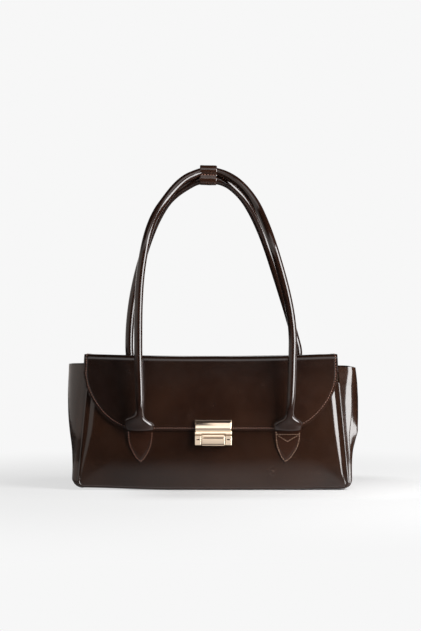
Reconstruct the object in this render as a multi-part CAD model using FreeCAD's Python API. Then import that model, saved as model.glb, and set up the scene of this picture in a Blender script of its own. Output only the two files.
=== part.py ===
import FreeCAD, Part
import math
import os

# Baguette bag with a front flap, a press lock and two rolled handles tied together at the top.
# Origin: centre of the base on the ground.  +X right seen from the front, +Y back, +Z up.  Millimetres.

# ---- driving dimensions: body ------------------------------------------------------------------
LEATHER = 1.6            # panels, gussets and base
BOARD = 1.0              # stiffener behind the front and back panels
CLOTH = 0.6              # lining
BASE_BOARD = 2.0         # stiff board in the base
HALF_DEPTH = 40.0        # outer face of the front and back panels
STRAIGHT_TOP = 62.0      # the panels are upright up to here, then lean in
FRONT_TOP = 117.5        # upper edge of the front panel
FRONT_TOP_Y = 34.0       # its outer face there, measured forward
BACK_TOP = 146.0         # upper edge of the back panel
BACK_TOP_Y = 33.0        # its outer face there
FRONT_LOW = 0.5          # lower edge of both panels, just off the ground
HALF_WIDTH_LOW = 151.0   # panels' half width, carried down to the ground line
HALF_WIDTH_TOP = 141.0   # panels' half width at the front panel's upper edge
CORNER_R = 12.0          # lower corners, seen from the front
LEAN_R = 140.0           # gentle bend where the panels start to lean
PIPING_R = 1.7           # seam cord round the front and the back
PIPING_TOP = 116.0       # where the seam cord ends
GUSSET_TOP = 138.0       # upper edge of the gussets
GUSSET_FRONT_Y = 30.5    # front corner of the gusset's upper edge
GUSSET_LEVELS = (13.0, 40.0, 75.0, 105.0, GUSSET_TOP)   # heights of the gusset's sections
GUSSET_BULGE = (0.6, 6.0, 15.5, 19.5, 21.5)             # how far each section bulges sideways
POCKET_HALF = 62.0       # slip pocket on the back lining
POCKET_LOW = 38.0
POCKET_TOP = 108.0
POCKET_GAP = 7.0         # room between the pocket and the lining behind it
POCKET_CLOTH = 0.8
FACING = 0.8             # leather band inside the mouth
FACING_DEPTH = 26.0

# ---- driving dimensions: flap ------------------------------------------------------------------
FLAP_LEATHER = 1.4
FLAP_HALF = 140.8        # half width of the flap at its widest
CROWN_HALF = 139.0       # half width of the flap on top
FLAP_LOW = 65.6          # lower edge of the flap
FLAP_CORNER_Z = 128.0    # where the flap's rounded corners start
FLAP_CORNER_X = 85.0     # and where they end on the lower edge
HINGE_Y = 33.7           # line where the flap bends at the back
HINGE_Z = 148.9
BEND_Y = -27.0           # centre of the bend over the front edge
BEND_Z = 143.0
BEND_R = 6.6             # outer radius of that bend
FLAP_LEAN = 6.65         # degrees by which the front part leans back at its top
SEAM_GAP = 0.3           # clearance left where a moving piece meets the next one
ANCHOR_LOW = 98.0        # lower edge of the strip that sews the flap to the back

# ---- driving dimensions: lock ------------------------------------------------------------------
LOCK_HALF = 20.0         # half width of the lock
LOCK_LOW = 49.8
LOCK_TOP = 65.2          # upper edge of the lower body
LOCK_FRONT = 47.6        # its front face, measured forward
PLATE_TOP = 77.0         # upper edge of the plate on the flap
PLATE_DEPTH = 4.4
POST = 6.6               # width of the two side posts
BAR_HALF = 12.9          # press bar
BAR_LOW = 48.8
BAR_HIGH = 60.2
BAR_FRONT = 48.6
BAR_BACK = 44.8
TONGUE_HALF = 9.0
TONGUE_THICK = 1.2
TONGUE_FRONT = 44.8
TONGUE_LOW = 61.0
FASTENER_X = 16.8        # rivets and screws sit this far from the middle
FASTENER_R = 1.1

# ---- driving dimensions: handles ---------------------------------------------------------------
TUBE_R = 4.65
SOCKET_R = 4.95          # cup round the ball at each pivot
PIVOT_LOW = 158.0
PIVOT_HIGH = 255.0
FRONT_LEG_Y = -51.6
REAR_LEG_Y = 48.0
FAN_TOP = 97.0           # where the tube starts to open into the fan
FAN_LOW = 66.0           # lower edge of the fan
FAN_HALF = 17.0
FAN_HALF_DEPTH = 3.1
TAB_TIP = 29.0
TAB_HALF = 15.0
TAB_THICK = 2.0
APEX_X = -5.7            # the keeper sits a little left of the middle
APEX_FRONT_Z = 353.0
APEX_REAR_Z = 341.5
KEEPER_HALF = 9.5
KEEPER_WALL = 1.5
KEEPER_PLAY = 0.35       # room between the keeper and the tubes
KEEPER_PINCH = 1.6       # how far its sides are drawn in between the tubes


def vec(x, y, z):
    return FreeCAD.Vector(x, y, z)


def block(x0, x1, y0, y1, z0, z1):
    return Part.makeBox(x1 - x0, y1 - y0, z1 - z0, vec(x0, y0, z0))


def mirror_x(shape):
    return shape.mirror(vec(0, 0, 0), vec(1, 0, 0))


def mirror_y(shape):
    return shape.mirror(vec(0, 0, 0), vec(0, 1, 0))


def save(name, shape):
    os.makedirs("parts", exist_ok=True)
    solids = shape.Solids
    good = solids[0] if len(solids) == 1 else Part.makeCompound(solids)
    good.exportStep("parts/" + name + ".step")
    print(name, len(solids), round(sum(s.Volume for s in solids), 1), good.isValid())


# ---- paths of straight runs joined by tangent arcs ---------------------------------------------
def rounded_edges(points, radii):
    """Edges through the points, with each inner corner rounded by its radius (0 keeps it sharp)."""
    edges = []
    start = points[0]
    for i in range(1, len(points) - 1):
        corner = points[i]
        before = (points[i - 1] - corner).normalize()
        after = (points[i + 1] - corner).normalize()
        turn = math.pi - before.getAngle(after)
        radius = radii[i - 1]
        if radius <= 0 or turn < 1e-4:
            edges.append(Part.makeLine(start, corner))
            start = corner
            continue
        reach = radius * math.tan(turn / 2)
        first = corner + before * reach
        last = corner + after * reach
        bisector = (before + after).normalize()
        centre = corner + bisector * (radius / math.cos(turn / 2))
        middle = centre - bisector * radius
        edges.append(Part.makeLine(start, first))
        edges.append(Part.Arc(first, middle, last).toShape())
        start = last
    edges.append(Part.makeLine(start, points[-1]))
    return edges


def offset_points(points, distance):
    """A polyline in the YZ plane moved sideways; positive is towards -Y when it runs upwards."""
    moved = []
    normals = []
    for a, b in zip(points[:-1], points[1:]):
        run = (b - a).normalize()
        normals.append(vec(0, -run.z, run.y))
    for i, point in enumerate(points):
        if i == 0:
            moved.append(point + normals[0] * distance)
        elif i == len(points) - 1:
            moved.append(point + normals[-1] * distance)
        else:
            joint = (normals[i - 1] + normals[i]).normalize()
            stretch = distance / joint.dot(normals[i])
            moved.append(point + joint * stretch)
    return moved


def layer(points, outer, inner, half_width):
    """A layer that follows the polyline, between two offsets measured inwards, as wide as given."""
    near = rounded_edges(offset_points(points, -outer), [LEAN_R - outer] * (len(points) - 2))
    far = rounded_edges(offset_points(points, -inner), [LEAN_R - inner] * (len(points) - 2))
    near_ends = (near[0].Vertexes[0].Point, near[-1].Vertexes[-1].Point)
    far_ends = (far[0].Vertexes[0].Point, far[-1].Vertexes[-1].Point)
    closing = [Part.makeLine(near_ends[1], far_ends[1]), Part.makeLine(far_ends[0], near_ends[0])]
    wire = Part.Wire(Part.__sortEdges__(near + far + closing))
    solid = Part.Face(wire).extrude(vec(2 * half_width, 0, 0))
    return solid.translate(vec(-half_width, 0, 0))


def swept_tube(edges, radius):
    """A round bar along tangent edges."""
    path = Part.Wire(edges)
    first = edges[0]
    start = first.valueAt(first.FirstParameter)
    along = first.tangentAt(first.FirstParameter)
    section = Part.Wire(Part.makeCircle(radius, start, along))
    shell = Part.BRepOffsetAPI.MakePipeShell(path)
    shell.add(section)
    shell.build()
    shell.makeSolid()
    return shell.shape()


def biarc(p, p_dir, q, q_dir):
    """Two arcs that leave p and reach q in the given directions and meet smoothly."""
    a = p_dir.normalize()
    b = q_dir.normalize()
    gap = q - p
    both = a + b
    square = 2 * (1 - a.dot(b))
    along = gap.dot(both)
    if square < 1e-9:
        reach = gap.dot(gap) / (4 * gap.dot(b))
    else:
        reach = (-along + math.sqrt(along * along + square * gap.dot(gap))) / square
    knot_a = p + a * reach
    knot_b = q - b * reach
    meet = (knot_a + knot_b) * 0.5
    return [tangent_arc(p, a, meet), tangent_arc(q, b * -1, meet, reverse=True)]


def tangent_arc(start, direction, end, reverse=False):
    """The arc from start to end that leaves start in the given direction."""
    chord = end - start
    turn = direction.getAngle(chord)
    if turn < 1e-3:
        if reverse:
            return Part.makeLine(end, start)
        return Part.makeLine(start, end)
    side = (direction - chord * (direction.dot(chord) / chord.dot(chord))).normalize()
    middle = start + chord * 0.5 + side * (chord.Length / 2 * math.tan(turn / 2))
    if reverse:
        return Part.Arc(end, middle, start).toShape()
    return Part.Arc(start, middle, end).toShape()


# ---- outlines ----------------------------------------------------------------------------------
FRONT_LINE = [vec(0, -HALF_DEPTH, FRONT_LOW), vec(0, -HALF_DEPTH, STRAIGHT_TOP),
              vec(0, -FRONT_TOP_Y, FRONT_TOP)]
BACK_LINE = [vec(0, -HALF_DEPTH, FRONT_LOW), vec(0, -HALF_DEPTH, STRAIGHT_TOP),
             vec(0, -BACK_TOP_Y, BACK_TOP)]


def side_x(z):
    """Half width of the panels at a height."""
    slope = (HALF_WIDTH_TOP - HALF_WIDTH_LOW) / (FRONT_TOP - FRONT_LOW)
    return HALF_WIDTH_LOW + slope * (z - FRONT_LOW)


def panel_outline(top, inset, low):
    """The panels' outline seen from the front, drawn in by an inset, as a deep prism."""
    points = [vec(-side_x(top) + inset, -90, top), vec(-side_x(low) + inset, -90, low),
              vec(side_x(low) - inset, -90, low), vec(side_x(top) - inset, -90, top)]
    corner = max(CORNER_R - inset, 1.0)
    edges = rounded_edges(points, [corner, corner])
    edges.append(Part.makeLine(points[3], points[0]))
    return Part.Face(Part.Wire(edges)).extrude(vec(0, 180, 0))


def front_y(z):
    """Outer face of the front, measured forward, up to the gusset's front corner."""
    if z <= STRAIGHT_TOP:
        return HALF_DEPTH
    if z <= FRONT_TOP:
        part = (z - STRAIGHT_TOP) / (FRONT_TOP - STRAIGHT_TOP)
        return HALF_DEPTH + part * (FRONT_TOP_Y - HALF_DEPTH)
    part = (z - FRONT_TOP) / (GUSSET_TOP - FRONT_TOP)
    return FRONT_TOP_Y + part * (GUSSET_FRONT_Y - FRONT_TOP_Y)


def back_y(z):
    """Outer face of the back, measured backward."""
    if z <= STRAIGHT_TOP:
        return HALF_DEPTH
    part = (z - STRAIGHT_TOP) / (BACK_TOP - STRAIGHT_TOP)
    return HALF_DEPTH + part * (BACK_TOP_Y - HALF_DEPTH)


# ---- body --------------------------------------------------------------------------------------
def seam_cord(top_y, top_z, lean_top_y, lean_top_z):
    """The cord in the seam round a panel: down one side, along the bottom and up the other."""
    inboard = PIPING_R - 0.3
    share = (top_z - STRAIGHT_TOP) / (lean_top_z - STRAIGHT_TOP)
    y_low = -HALF_DEPTH + inboard
    y_top = -(HALF_DEPTH + share * (lean_top_y - HALF_DEPTH)) + inboard
    low = FRONT_LOW + PIPING_R - 0.4
    points = [vec(-side_x(top_z), y_top, top_z), vec(-side_x(STRAIGHT_TOP), y_low, STRAIGHT_TOP),
              vec(-side_x(low) + 0.6, y_low, low), vec(side_x(low) - 0.6, y_low, low),
              vec(side_x(STRAIGHT_TOP), y_low, STRAIGHT_TOP), vec(side_x(top_z), y_top, top_z)]
    edges = rounded_edges(points, [LEAN_R, CORNER_R, CORNER_R, LEAN_R])
    return swept_tube(edges, PIPING_R)


def gusset_section(z, bulge, outer, inner, front_inset, back_inset):
    """Closed outline of the right gusset's wall at a height."""
    y0 = -front_y(z) + front_inset
    y1 = back_y(z) - back_inset
    x = side_x(min(z, FRONT_TOP)) - max(z - FRONT_TOP, 0) * 0.03
    outer_points = [vec(x - outer, y0, z), vec(x - outer + bulge, (y0 + y1) / 2, z), vec(x - outer, y1, z)]
    inner_points = [vec(x - inner, y1, z), vec(x - inner + bulge, (y0 + y1) / 2, z), vec(x - inner, y0, z)]
    edges = [Part.Arc(*outer_points).toShape(), Part.makeLine(outer_points[2], inner_points[0]),
             Part.Arc(*inner_points).toShape(), Part.makeLine(inner_points[2], outer_points[0])]
    return Part.Wire(edges)


def gusset(outer, inner, front_inset, back_inset):
    """Right gusset wall: lofted, bulging more towards the top."""
    sections = [gusset_section(z, bulge, outer, inner, front_inset, back_inset)
                for z, bulge in zip(GUSSET_LEVELS, GUSSET_BULGE)]
    return Part.makeLoft(sections, True, False)


def base_strip(outer, inner, front_inset, floor):
    """The strip under the bag with its turned-up corners, between two offsets from the outline."""
    y0 = -HALF_DEPTH + front_inset
    whole = panel_outline(GUSSET_LEVELS[0], outer, floor + outer)
    hollow = panel_outline(GUSSET_LEVELS[0] + 5, inner, floor + inner)
    strip = whole.cut(hollow)
    return strip.common(block(-200, 200, y0, -y0, -5, GUSSET_LEVELS[0]))


FRONT_CORD = seam_cord(FRONT_TOP_Y, FRONT_TOP, FRONT_TOP_Y, FRONT_TOP)
FRONT_CORD = FRONT_CORD.common(block(-200, 200, -60, 0, -5, PIPING_TOP))
BACK_CORD = mirror_y(seam_cord(BACK_TOP_Y, FRONT_TOP, BACK_TOP_Y, BACK_TOP))
BACK_CORD = BACK_CORD.common(block(-200, 200, 0, 60, -5, PIPING_TOP))


def without_cords(shape):
    """The piece trimmed to the seam cords; the slivers outside them are dropped."""
    trimmed = shape.cut(FRONT_CORD).cut(BACK_CORD)
    return max(trimmed.Solids, key=lambda solid: solid.Volume)


def lock_holes(y0, y1):
    """Holes for the four rivets of the lock's body."""
    holes = []
    for x in (-FASTENER_X, FASTENER_X):
        for z in (LOCK_LOW + 3.2, LOCK_TOP - 3.2):
            holes.append(Part.makeCylinder(FASTENER_R, y1 - y0, vec(x, y0, z), vec(0, 1, 0)))
    return Part.makeCompound(holes)


BACKING_DEPTH = 0.8
BACKING = block(-LOCK_HALF + 1, LOCK_HALF - 1, -HALF_DEPTH + LEATHER, -HALF_DEPTH + LEATHER + BACKING_DEPTH,
                LOCK_LOW + 0.6, LOCK_TOP - 0.6)


def build_body():
    panel = layer(FRONT_LINE, 0, LEATHER, 200).common(panel_outline(FRONT_TOP, 0, FRONT_LOW))
    panel = panel.cut(lock_holes(-60, -20))
    save("front_panel", without_cords(panel))
    back = mirror_y(layer(BACK_LINE, 0, LEATHER, 200)).common(panel_outline(BACK_TOP, 0, FRONT_LOW))
    save("back_panel", without_cords(back))
    save("front_piping", FRONT_CORD)
    save("back_piping", BACK_CORD)

    right = gusset(0, LEATHER, LEATHER, LEATHER)
    strip = base_strip(0, LEATHER, LEATHER, 0)
    seam_x = side_x(FRONT_LOW) - CORNER_R
    corner = strip.common(block(seam_x, 200, -60, 60, -5, 60))
    right = without_cords(right.fuse(corner)).removeSplitter()
    save("right_gusset", right)
    save("left_gusset", mirror_x(right))
    save("base_panel", without_cords(strip.common(block(-seam_x, seam_x, -60, 60, -5, 60))))

    t0 = LEATHER
    t1 = LEATHER + BOARD
    t2 = t1 + CLOTH
    floor = t0 + BASE_BOARD + CLOTH
    stiff = layer(FRONT_LINE, t0, t1, 200).common(panel_outline(FRONT_TOP - 2, t2 + 0.4, floor))
    stiff = stiff.cut(BACKING).cut(lock_holes(-60, -20))
    save("front_stiffener", stiff)
    stiff = mirror_y(layer(BACK_LINE, t0, t1, 200))
    stiff = stiff.common(panel_outline(BACK_TOP - 2, t2 + 0.4, floor))
    save("back_stiffener", stiff)
    lining = layer(FRONT_LINE, t1, t2, 200).common(panel_outline(FRONT_TOP - 1, t2, floor))
    save("front_lining", lining)
    lining = mirror_y(layer(BACK_LINE, t1, t2, 200))
    save("back_lining", lining.common(panel_outline(BACK_TOP - 1, t2, floor)))
    side = gusset(LEATHER, LEATHER + CLOTH, t2 + 0.1, t2 + 0.1)
    save("right_lining", side)
    save("left_lining", mirror_x(side))
    inner_x = side_x(FRONT_LOW) - CORNER_R - 1
    inner_y = HALF_DEPTH - t2 - 0.2
    save("base_board", block(-inner_x, inner_x, -inner_y, inner_y, t0, t0 + BASE_BOARD))
    save("base_lining", block(-inner_x, inner_x, -inner_y, inner_y, t0 + BASE_BOARD, floor))

    band = layer(FRONT_LINE, t2, t2 + FACING, 200)
    save("front_facing", band.common(panel_outline(FRONT_TOP - 1, t2 + 3, FRONT_TOP - FACING_DEPTH)))
    band = mirror_y(layer(BACK_LINE, t2, t2 + FACING, 200))
    save("back_facing", band.common(panel_outline(BACK_TOP - 1, t2 + 3, BACK_TOP - FACING_DEPTH)))


def build_pocket():
    t2 = LEATHER + BOARD + CLOTH
    outer = mirror_y(layer(BACK_LINE, t2, t2 + POCKET_GAP + POCKET_CLOTH, POCKET_HALF))
    room = mirror_y(layer(BACK_LINE, t2 - 1, t2 + POCKET_GAP, POCKET_HALF - POCKET_CLOTH))
    outer = outer.common(block(-100, 100, 0, 60, POCKET_LOW, POCKET_TOP))
    room = room.common(block(-100, 100, 0, 60, POCKET_LOW + POCKET_CLOTH, POCKET_TOP + 5))
    save("inner_pocket", outer.cut(room))


# ---- flap --------------------------------------------------------------------------------------
def bend_point(radius, degrees):
    """A point on the front bend; 90 is straight up, 180 is straight to the front."""
    angle = math.radians(degrees)
    return vec(0, BEND_Y + radius * math.cos(angle), BEND_Z + radius * math.sin(angle))


BEND_END = 180 - FLAP_LEAN


def crown_layer(outer_r, inner_r, back_y_end, half_width):
    """The flap's top with the bend over the front edge, between two radii of the bend."""
    top = BEND_Z + outer_r
    under = BEND_Z + inner_r
    middle = (90 + BEND_END) / 2
    outside = [bend_point(outer_r, degrees) for degrees in (90, middle, BEND_END)]
    inside = [bend_point(inner_r, degrees) for degrees in (BEND_END, middle, 90)]
    edges = [Part.makeLine(vec(0, back_y_end, top), outside[0]),
             Part.Arc(*outside).toShape(),
             Part.makeLine(outside[2], inside[0]),
             Part.Arc(*inside).toShape(),
             Part.makeLine(bend_point(inner_r, 90), vec(0, back_y_end, under)),
             Part.makeLine(vec(0, back_y_end, under), vec(0, back_y_end, top))]
    solid = Part.Face(Part.Wire(edges)).extrude(vec(2 * half_width, 0, 0))
    return solid.translate(vec(-half_width, 0, 0))


def front_layer(outer_r, inner_r, low):
    """The hanging front part of the flap, between the same radii, down to a height."""
    lean = math.radians(FLAP_LEAN)
    down = vec(0, -math.sin(lean), -math.cos(lean))
    corners = []
    for radius in (outer_r, inner_r):
        top = bend_point(radius, BEND_END) + down * SEAM_GAP
        reach = (top.z - low) / math.cos(lean)
        corners.append((top, top + down * reach))
    wire = Part.makePolygon([corners[0][0], corners[0][1], corners[1][1], corners[1][0], corners[0][0]])
    return Part.Face(wire).extrude(vec(400, 0, 0)).translate(vec(-200, 0, 0))


def flap_outline(inset):
    """The flap's rounded outline seen from the front, as a deep prism."""
    half = FLAP_HALF - inset
    low = FLAP_LOW + inset
    flat = FLAP_CORNER_X - inset
    curve = Part.BezierCurve()
    curve.setPoles([vec(-half, -90, FLAP_CORNER_Z), vec(-half, -90, 105), vec(-flat - 30, -90, low),
                    vec(-flat, -90, low)])
    left = curve.toShape()
    right = mirror_x(left)
    top = BEND_Z + 2
    edges = [Part.makeLine(vec(CROWN_HALF - inset, -90, top), vec(-CROWN_HALF + inset, -90, top)),
             Part.makeLine(vec(-CROWN_HALF + inset, -90, top), vec(-half, -90, FLAP_CORNER_Z)),
             left,
             Part.makeLine(vec(-flat, -90, low), vec(flat, -90, low)),
             right,
             Part.makeLine(vec(half, -90, FLAP_CORNER_Z), vec(CROWN_HALF - inset, -90, top))]
    wire = Part.Wire(Part.__sortEdges__(edges))
    return Part.Face(wire).extrude(vec(0, 80, 0))


def lean_with_flap(shape):
    """Turn a shape that was drawn upright about the flap's bend so that it leans as the flap does."""
    turned = shape.copy()
    turned.rotate(vec(0, BEND_Y, BEND_Z), vec(1, 0, 0), -FLAP_LEAN)
    return turned


def screw_rods(radius, y0, y1):
    """The plate's two screws, upright before they lean with the flap."""
    rods = []
    for x in (-FASTENER_X, FASTENER_X):
        rods.append(Part.makeCylinder(radius, y1 - y0, vec(x, y0, PLATE_TOP - 4.6), vec(0, 1, 0)))
    return Part.makeCompound(rods)


FLAP_OUTER = BEND_Y - BEND_R                      # outer face of the upright flap
FLAP_MIDDLE = FLAP_OUTER + FLAP_LEATHER           # leather to lining
FLAP_INNER = FLAP_MIDDLE + CLOTH


def build_flap():
    inner_r = BEND_R - FLAP_LEATHER
    lining_r = inner_r - CLOTH
    crown = crown_layer(BEND_R, inner_r, HINGE_Y, CROWN_HALF)
    roll_end = vec(-CROWN_HALF, HINGE_Y, HINGE_Z)
    roll = Part.makeCylinder(FLAP_LEATHER / 2, 2 * CROWN_HALF, roll_end, vec(1, 0, 0))
    save("flap_crown", crown.fuse(roll).removeSplitter())
    save("flap_crown_lining", crown_layer(inner_r, lining_r, HINGE_Y - 2.8, CROWN_HALF - 2))

    top_y = BACK_TOP_Y
    line = [vec(0, -back_y(ANCHOR_LOW), ANCHOR_LOW), vec(0, -top_y, BACK_TOP)]
    run = (line[1] - line[0]).normalize()
    reach = (HINGE_Z - FLAP_LEATHER / 2 - SEAM_GAP - line[0].z) / run.z
    line[1] = line[0] + run * reach
    anchor = mirror_y(layer(line, -FLAP_LEATHER, 0, CROWN_HALF))
    save("flap_anchor", anchor.common(block(-200, 200, 0, 60, 0, HINGE_Z - FLAP_LEATHER / 2 - SEAM_GAP)))

    outline = flap_outline(0)
    screws = lean_with_flap(screw_rods(FASTENER_R, FLAP_OUTER - 10, FLAP_OUTER + 10))
    backing = block(-LOCK_HALF, LOCK_HALF, FLAP_MIDDLE, FLAP_INNER, LOCK_TOP + 3.5, PLATE_TOP)
    backing = lean_with_flap(backing)
    front = front_layer(BEND_R, inner_r, FLAP_LOW).common(outline)
    save("flap_front", front.cut(screws))
    lining = front_layer(inner_r, lining_r, FLAP_LOW).common(flap_outline(2.0))
    save("flap_front_lining", lining.cut(backing))
    save("clasp_plate_backing", backing.cut(screws))
    rods = lean_with_flap(screw_rods(FASTENER_R, FLAP_OUTER, FLAP_INNER))
    save("clasp_plate_screws", rods)


# ---- lock --------------------------------------------------------------------------------------
def rounded_bar(x0, x1, y0, y1, z0, z1, radius):
    """A bar along X whose front corners are rounded."""
    points = [vec(x0, y1, z0), vec(x0, y0, z0), vec(x0, y0, z1), vec(x0, y1, z1)]
    edges = rounded_edges(points, [radius, radius])
    edges.append(Part.makeLine(points[3], points[0]))
    return Part.Face(Part.Wire(edges)).extrude(vec(x1 - x0, 0, 0))


def build_clasp_plate():
    """Plate on the flap: a frame round a raised rounded band, with a step at its lower edge."""
    back = FLAP_OUTER
    front = back - PLATE_DEPTH
    low = LOCK_TOP + 1.0
    frame = block(-LOCK_HALF, LOCK_HALF, front + 1.0, back, low, PLATE_TOP)
    groove = block(-LOCK_HALF + 1.2, LOCK_HALF - 1.2, front, front + 1.9, PLATE_TOP - 2.4, PLATE_TOP - 1.2)
    band_half = LOCK_HALF - 0.6
    band = rounded_bar(-band_half, band_half, front, back - 1, PLATE_TOP - 8.4, PLATE_TOP - 2.4, 1.3)
    plate = frame.cut(groove).fuse(band).removeSplitter()
    save("clasp_plate", lean_with_flap(plate))


def build_tongue():
    """Tongue under the plate, which enters the lock's slot."""
    y0 = -TONGUE_FRONT
    foot = block(-TONGUE_HALF, TONGUE_HALF, y0, y0 + TONGUE_THICK, TONGUE_LOW, LOCK_TOP + 4.0)
    window = block(-4.2, 4.2, y0 - 1, y0 + 3, TONGUE_LOW + 1.0, TONGUE_LOW + 2.8)
    leaned = lean_with_flap(block(-LOCK_HALF, LOCK_HALF, FLAP_OUTER - PLATE_DEPTH, FLAP_OUTER + 9,
                                  LOCK_TOP + 1.0, PLATE_TOP))
    save("clasp_tongue", foot.cut(window).cut(leaned))


def build_clasp_body():
    """Lower body on the front panel: back plate, two posts and a bridge with the tongue's slot."""
    back = -HALF_DEPTH
    front = -LOCK_FRONT
    whole = rounded_bar(-LOCK_HALF, LOCK_HALF, front, back, LOCK_LOW, LOCK_TOP, 1.0)
    recess = block(-LOCK_HALF + POST, LOCK_HALF - POST, front - 1, back - 1.2, LOCK_LOW - 1, BAR_HIGH + 0.4)
    slot_half = TONGUE_HALF + 0.6
    slot = block(-slot_half, slot_half, -TONGUE_FRONT - 1.7, -TONGUE_FRONT + TONGUE_THICK + 0.4,
                 BAR_HIGH - 1, LOCK_TOP + 1)
    spring_room = block(-5.6, 5.6, -TONGUE_FRONT, back - 1.2, LOCK_LOW + 1, LOCK_TOP - 0.8)
    body = whole.cut(recess).cut(slot).cut(spring_room)
    for x in (-LOCK_HALF + POST / 2, LOCK_HALF - POST / 2):
        body = body.cut(block(x - 1.6, x + 1.2, front - 1, front + 0.6, LOCK_LOW + 5.2, LOCK_LOW + 6.2))
        body = body.cut(block(x - 2.6, x + 2.6, front - 1, front + 0.5, LOCK_TOP - 4.2, LOCK_TOP - 2.8))
    body = body.cut(lock_holes(back - 4, back + 1))
    save("clasp_body", body)
    panel = layer(FRONT_LINE, 0, LEATHER, LOCK_HALF)
    save("clasp_body_backing", BACKING.cut(panel).cut(lock_holes(-60, -20)))
    pins = lock_holes(back - 4, back + LEATHER + BACKING_DEPTH)
    save("clasp_body_rivets", pins)


def build_press_bar():
    """Bar that is pressed in to free the tongue, with a groove across its front."""
    bar = rounded_bar(-BAR_HALF, BAR_HALF, -BAR_FRONT, -BAR_BACK, BAR_LOW, BAR_HIGH, 1.4)
    half = BAR_HALF - 1.5
    groove = block(-half, half, -BAR_FRONT - 1, -BAR_FRONT + 0.8, BAR_HIGH - 4.2, BAR_HIGH - 3.2)
    save("clasp_press_bar", bar.cut(groove))


def build_catch_spring():
    """Leaf on the back plate whose nose sits in the tongue's window."""
    back = -HALF_DEPTH - 1.2
    leaf = block(-4.0, 4.0, back - 0.5, back, LOCK_LOW + 2.0, TONGUE_LOW + 3.4)
    nose = block(-3.6, 3.6, -TONGUE_FRONT + 0.2, back, TONGUE_LOW + 1.3, TONGUE_LOW + 2.5)
    save("clasp_catch_spring", leaf.fuse(nose).removeSplitter())


# ---- handles -----------------------------------------------------------------------------------
def heading(degrees, slope_y):
    """A direction that rises, turned to +X by degrees from upright, with a share along Y."""
    angle = math.radians(degrees)
    return vec(math.sin(angle), slope_y, math.cos(angle))


def ball(point, radius):
    return Part.makeSphere(radius, point)


def build_tab(name, fan_x, tilt, pivot, panel_y, leg_y):
    """Stitched tab, the fan above it and the lower end of the tube, as one folded piece of leather.

    Drawn for the front, where panel_y and leg_y are negative; the rear ones are mirrored."""
    tip = vec(fan_x + tilt, 0, TAB_TIP)
    top = FAN_LOW + 0.6
    left = vec(fan_x - TAB_HALF, 0, top)
    right = vec(fan_x + TAB_HALF, 0, top)
    left_mid = vec(fan_x - TAB_HALF * 0.79 + tilt * 0.5, 0, TAB_TIP + 16.5)
    right_mid = vec(fan_x + TAB_HALF * 0.79 + tilt * 0.5, 0, TAB_TIP + 16.5)
    edges = [Part.Arc(left, left_mid, tip).toShape(), Part.Arc(tip, right_mid, right).toShape(),
             Part.makeLine(right, left)]
    outline = Part.Face(Part.Wire(edges)).extrude(vec(0, 120, 0)).translate(vec(0, -60, 0))

    centre_y = leg_y + 1.1
    neck_back = centre_y + FAN_HALF_DEPTH - 0.9
    neck_front = centre_y - FAN_HALF_DEPTH + 0.9
    face = panel_y - TAB_THICK
    side = [vec(-300, panel_y, 0), vec(-300, panel_y, top - 3.4), vec(-300, neck_back, top - 2.2),
            vec(-300, neck_back, top), vec(-300, neck_front, top), vec(-300, neck_front, top - 2.0),
            vec(-300, face, top - 14), vec(-300, face, 0), vec(-300, panel_y, 0)]
    tab = Part.Face(Part.makePolygon(side)).extrude(vec(600, 0, 0)).common(outline)

    rim = [(FAN_LOW, FAN_HALF, FAN_HALF_DEPTH, centre_y),
           (FAN_LOW + 3.2, FAN_HALF - 0.7, FAN_HALF_DEPTH + 0.3, centre_y),
           (FAN_LOW + 12, 9.4, TUBE_R - 0.1, leg_y + 0.4),
           (FAN_LOW + 22, 6.0, TUBE_R + 0.2, leg_y),
           (FAN_TOP + 6, TUBE_R - 0.4, TUBE_R - 0.5, leg_y)]
    sections = []
    for z, half, half_depth, y in rim:
        lean = (z - FAN_LOW) / (PIVOT_LOW - FAN_LOW)
        x = fan_x + lean * (pivot.x - fan_x)
        ellipse = Part.Ellipse(vec(x, y, z), half, half_depth)
        sections.append(Part.Wire(ellipse.toShape()))
    fan = Part.makeLoft(sections, True, False)

    foot_z = FAN_LOW + 14
    lean = (foot_z - FAN_LOW) / (PIVOT_LOW - FAN_LOW)
    foot = vec(fan_x + lean * (pivot.x - fan_x), leg_y, foot_z)
    rings = [Part.Wire(Part.makeCircle(TUBE_R, point)) for point in (foot, pivot)]
    stub = Part.makeLoft(rings, True, True)
    stub = stub.cut(ball(pivot, SOCKET_R))
    whole = tab.fuse(fan).fuse(stub)
    return name, whole


def leg(low, low_dir, high, high_dir):
    """Rolled leg between two pivots, with a ball at each end."""
    tube = swept_tube(biarc(low, low_dir, high, high_dir), TUBE_R)
    return tube.fuse(ball(low, TUBE_R)).fuse(ball(high, TUBE_R))


def arch(stations):
    """Rolled arch through (point, direction) stations, with a cup at each end for the legs' balls."""
    edges = []
    for (p, p_dir), (q, q_dir) in zip(stations[:-1], stations[1:]):
        edges += biarc(p, p_dir, q, q_dir)
    tube = swept_tube(edges, TUBE_R)
    return tube.cut(ball(stations[0][0], SOCKET_R)).cut(ball(stations[-1][0], SOCKET_R))


def up_then_down(rising, apex, falling):
    """Stations of an arch: the right side is given rising too, so its directions are turned round."""
    stations = [(point, heading(*angles)) for point, angles in rising]
    stations.append((apex, vec(1, 0, 0)))
    for point, angles in reversed(falling):
        stations.append((point, heading(*angles) * -1))
    return stations


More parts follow.
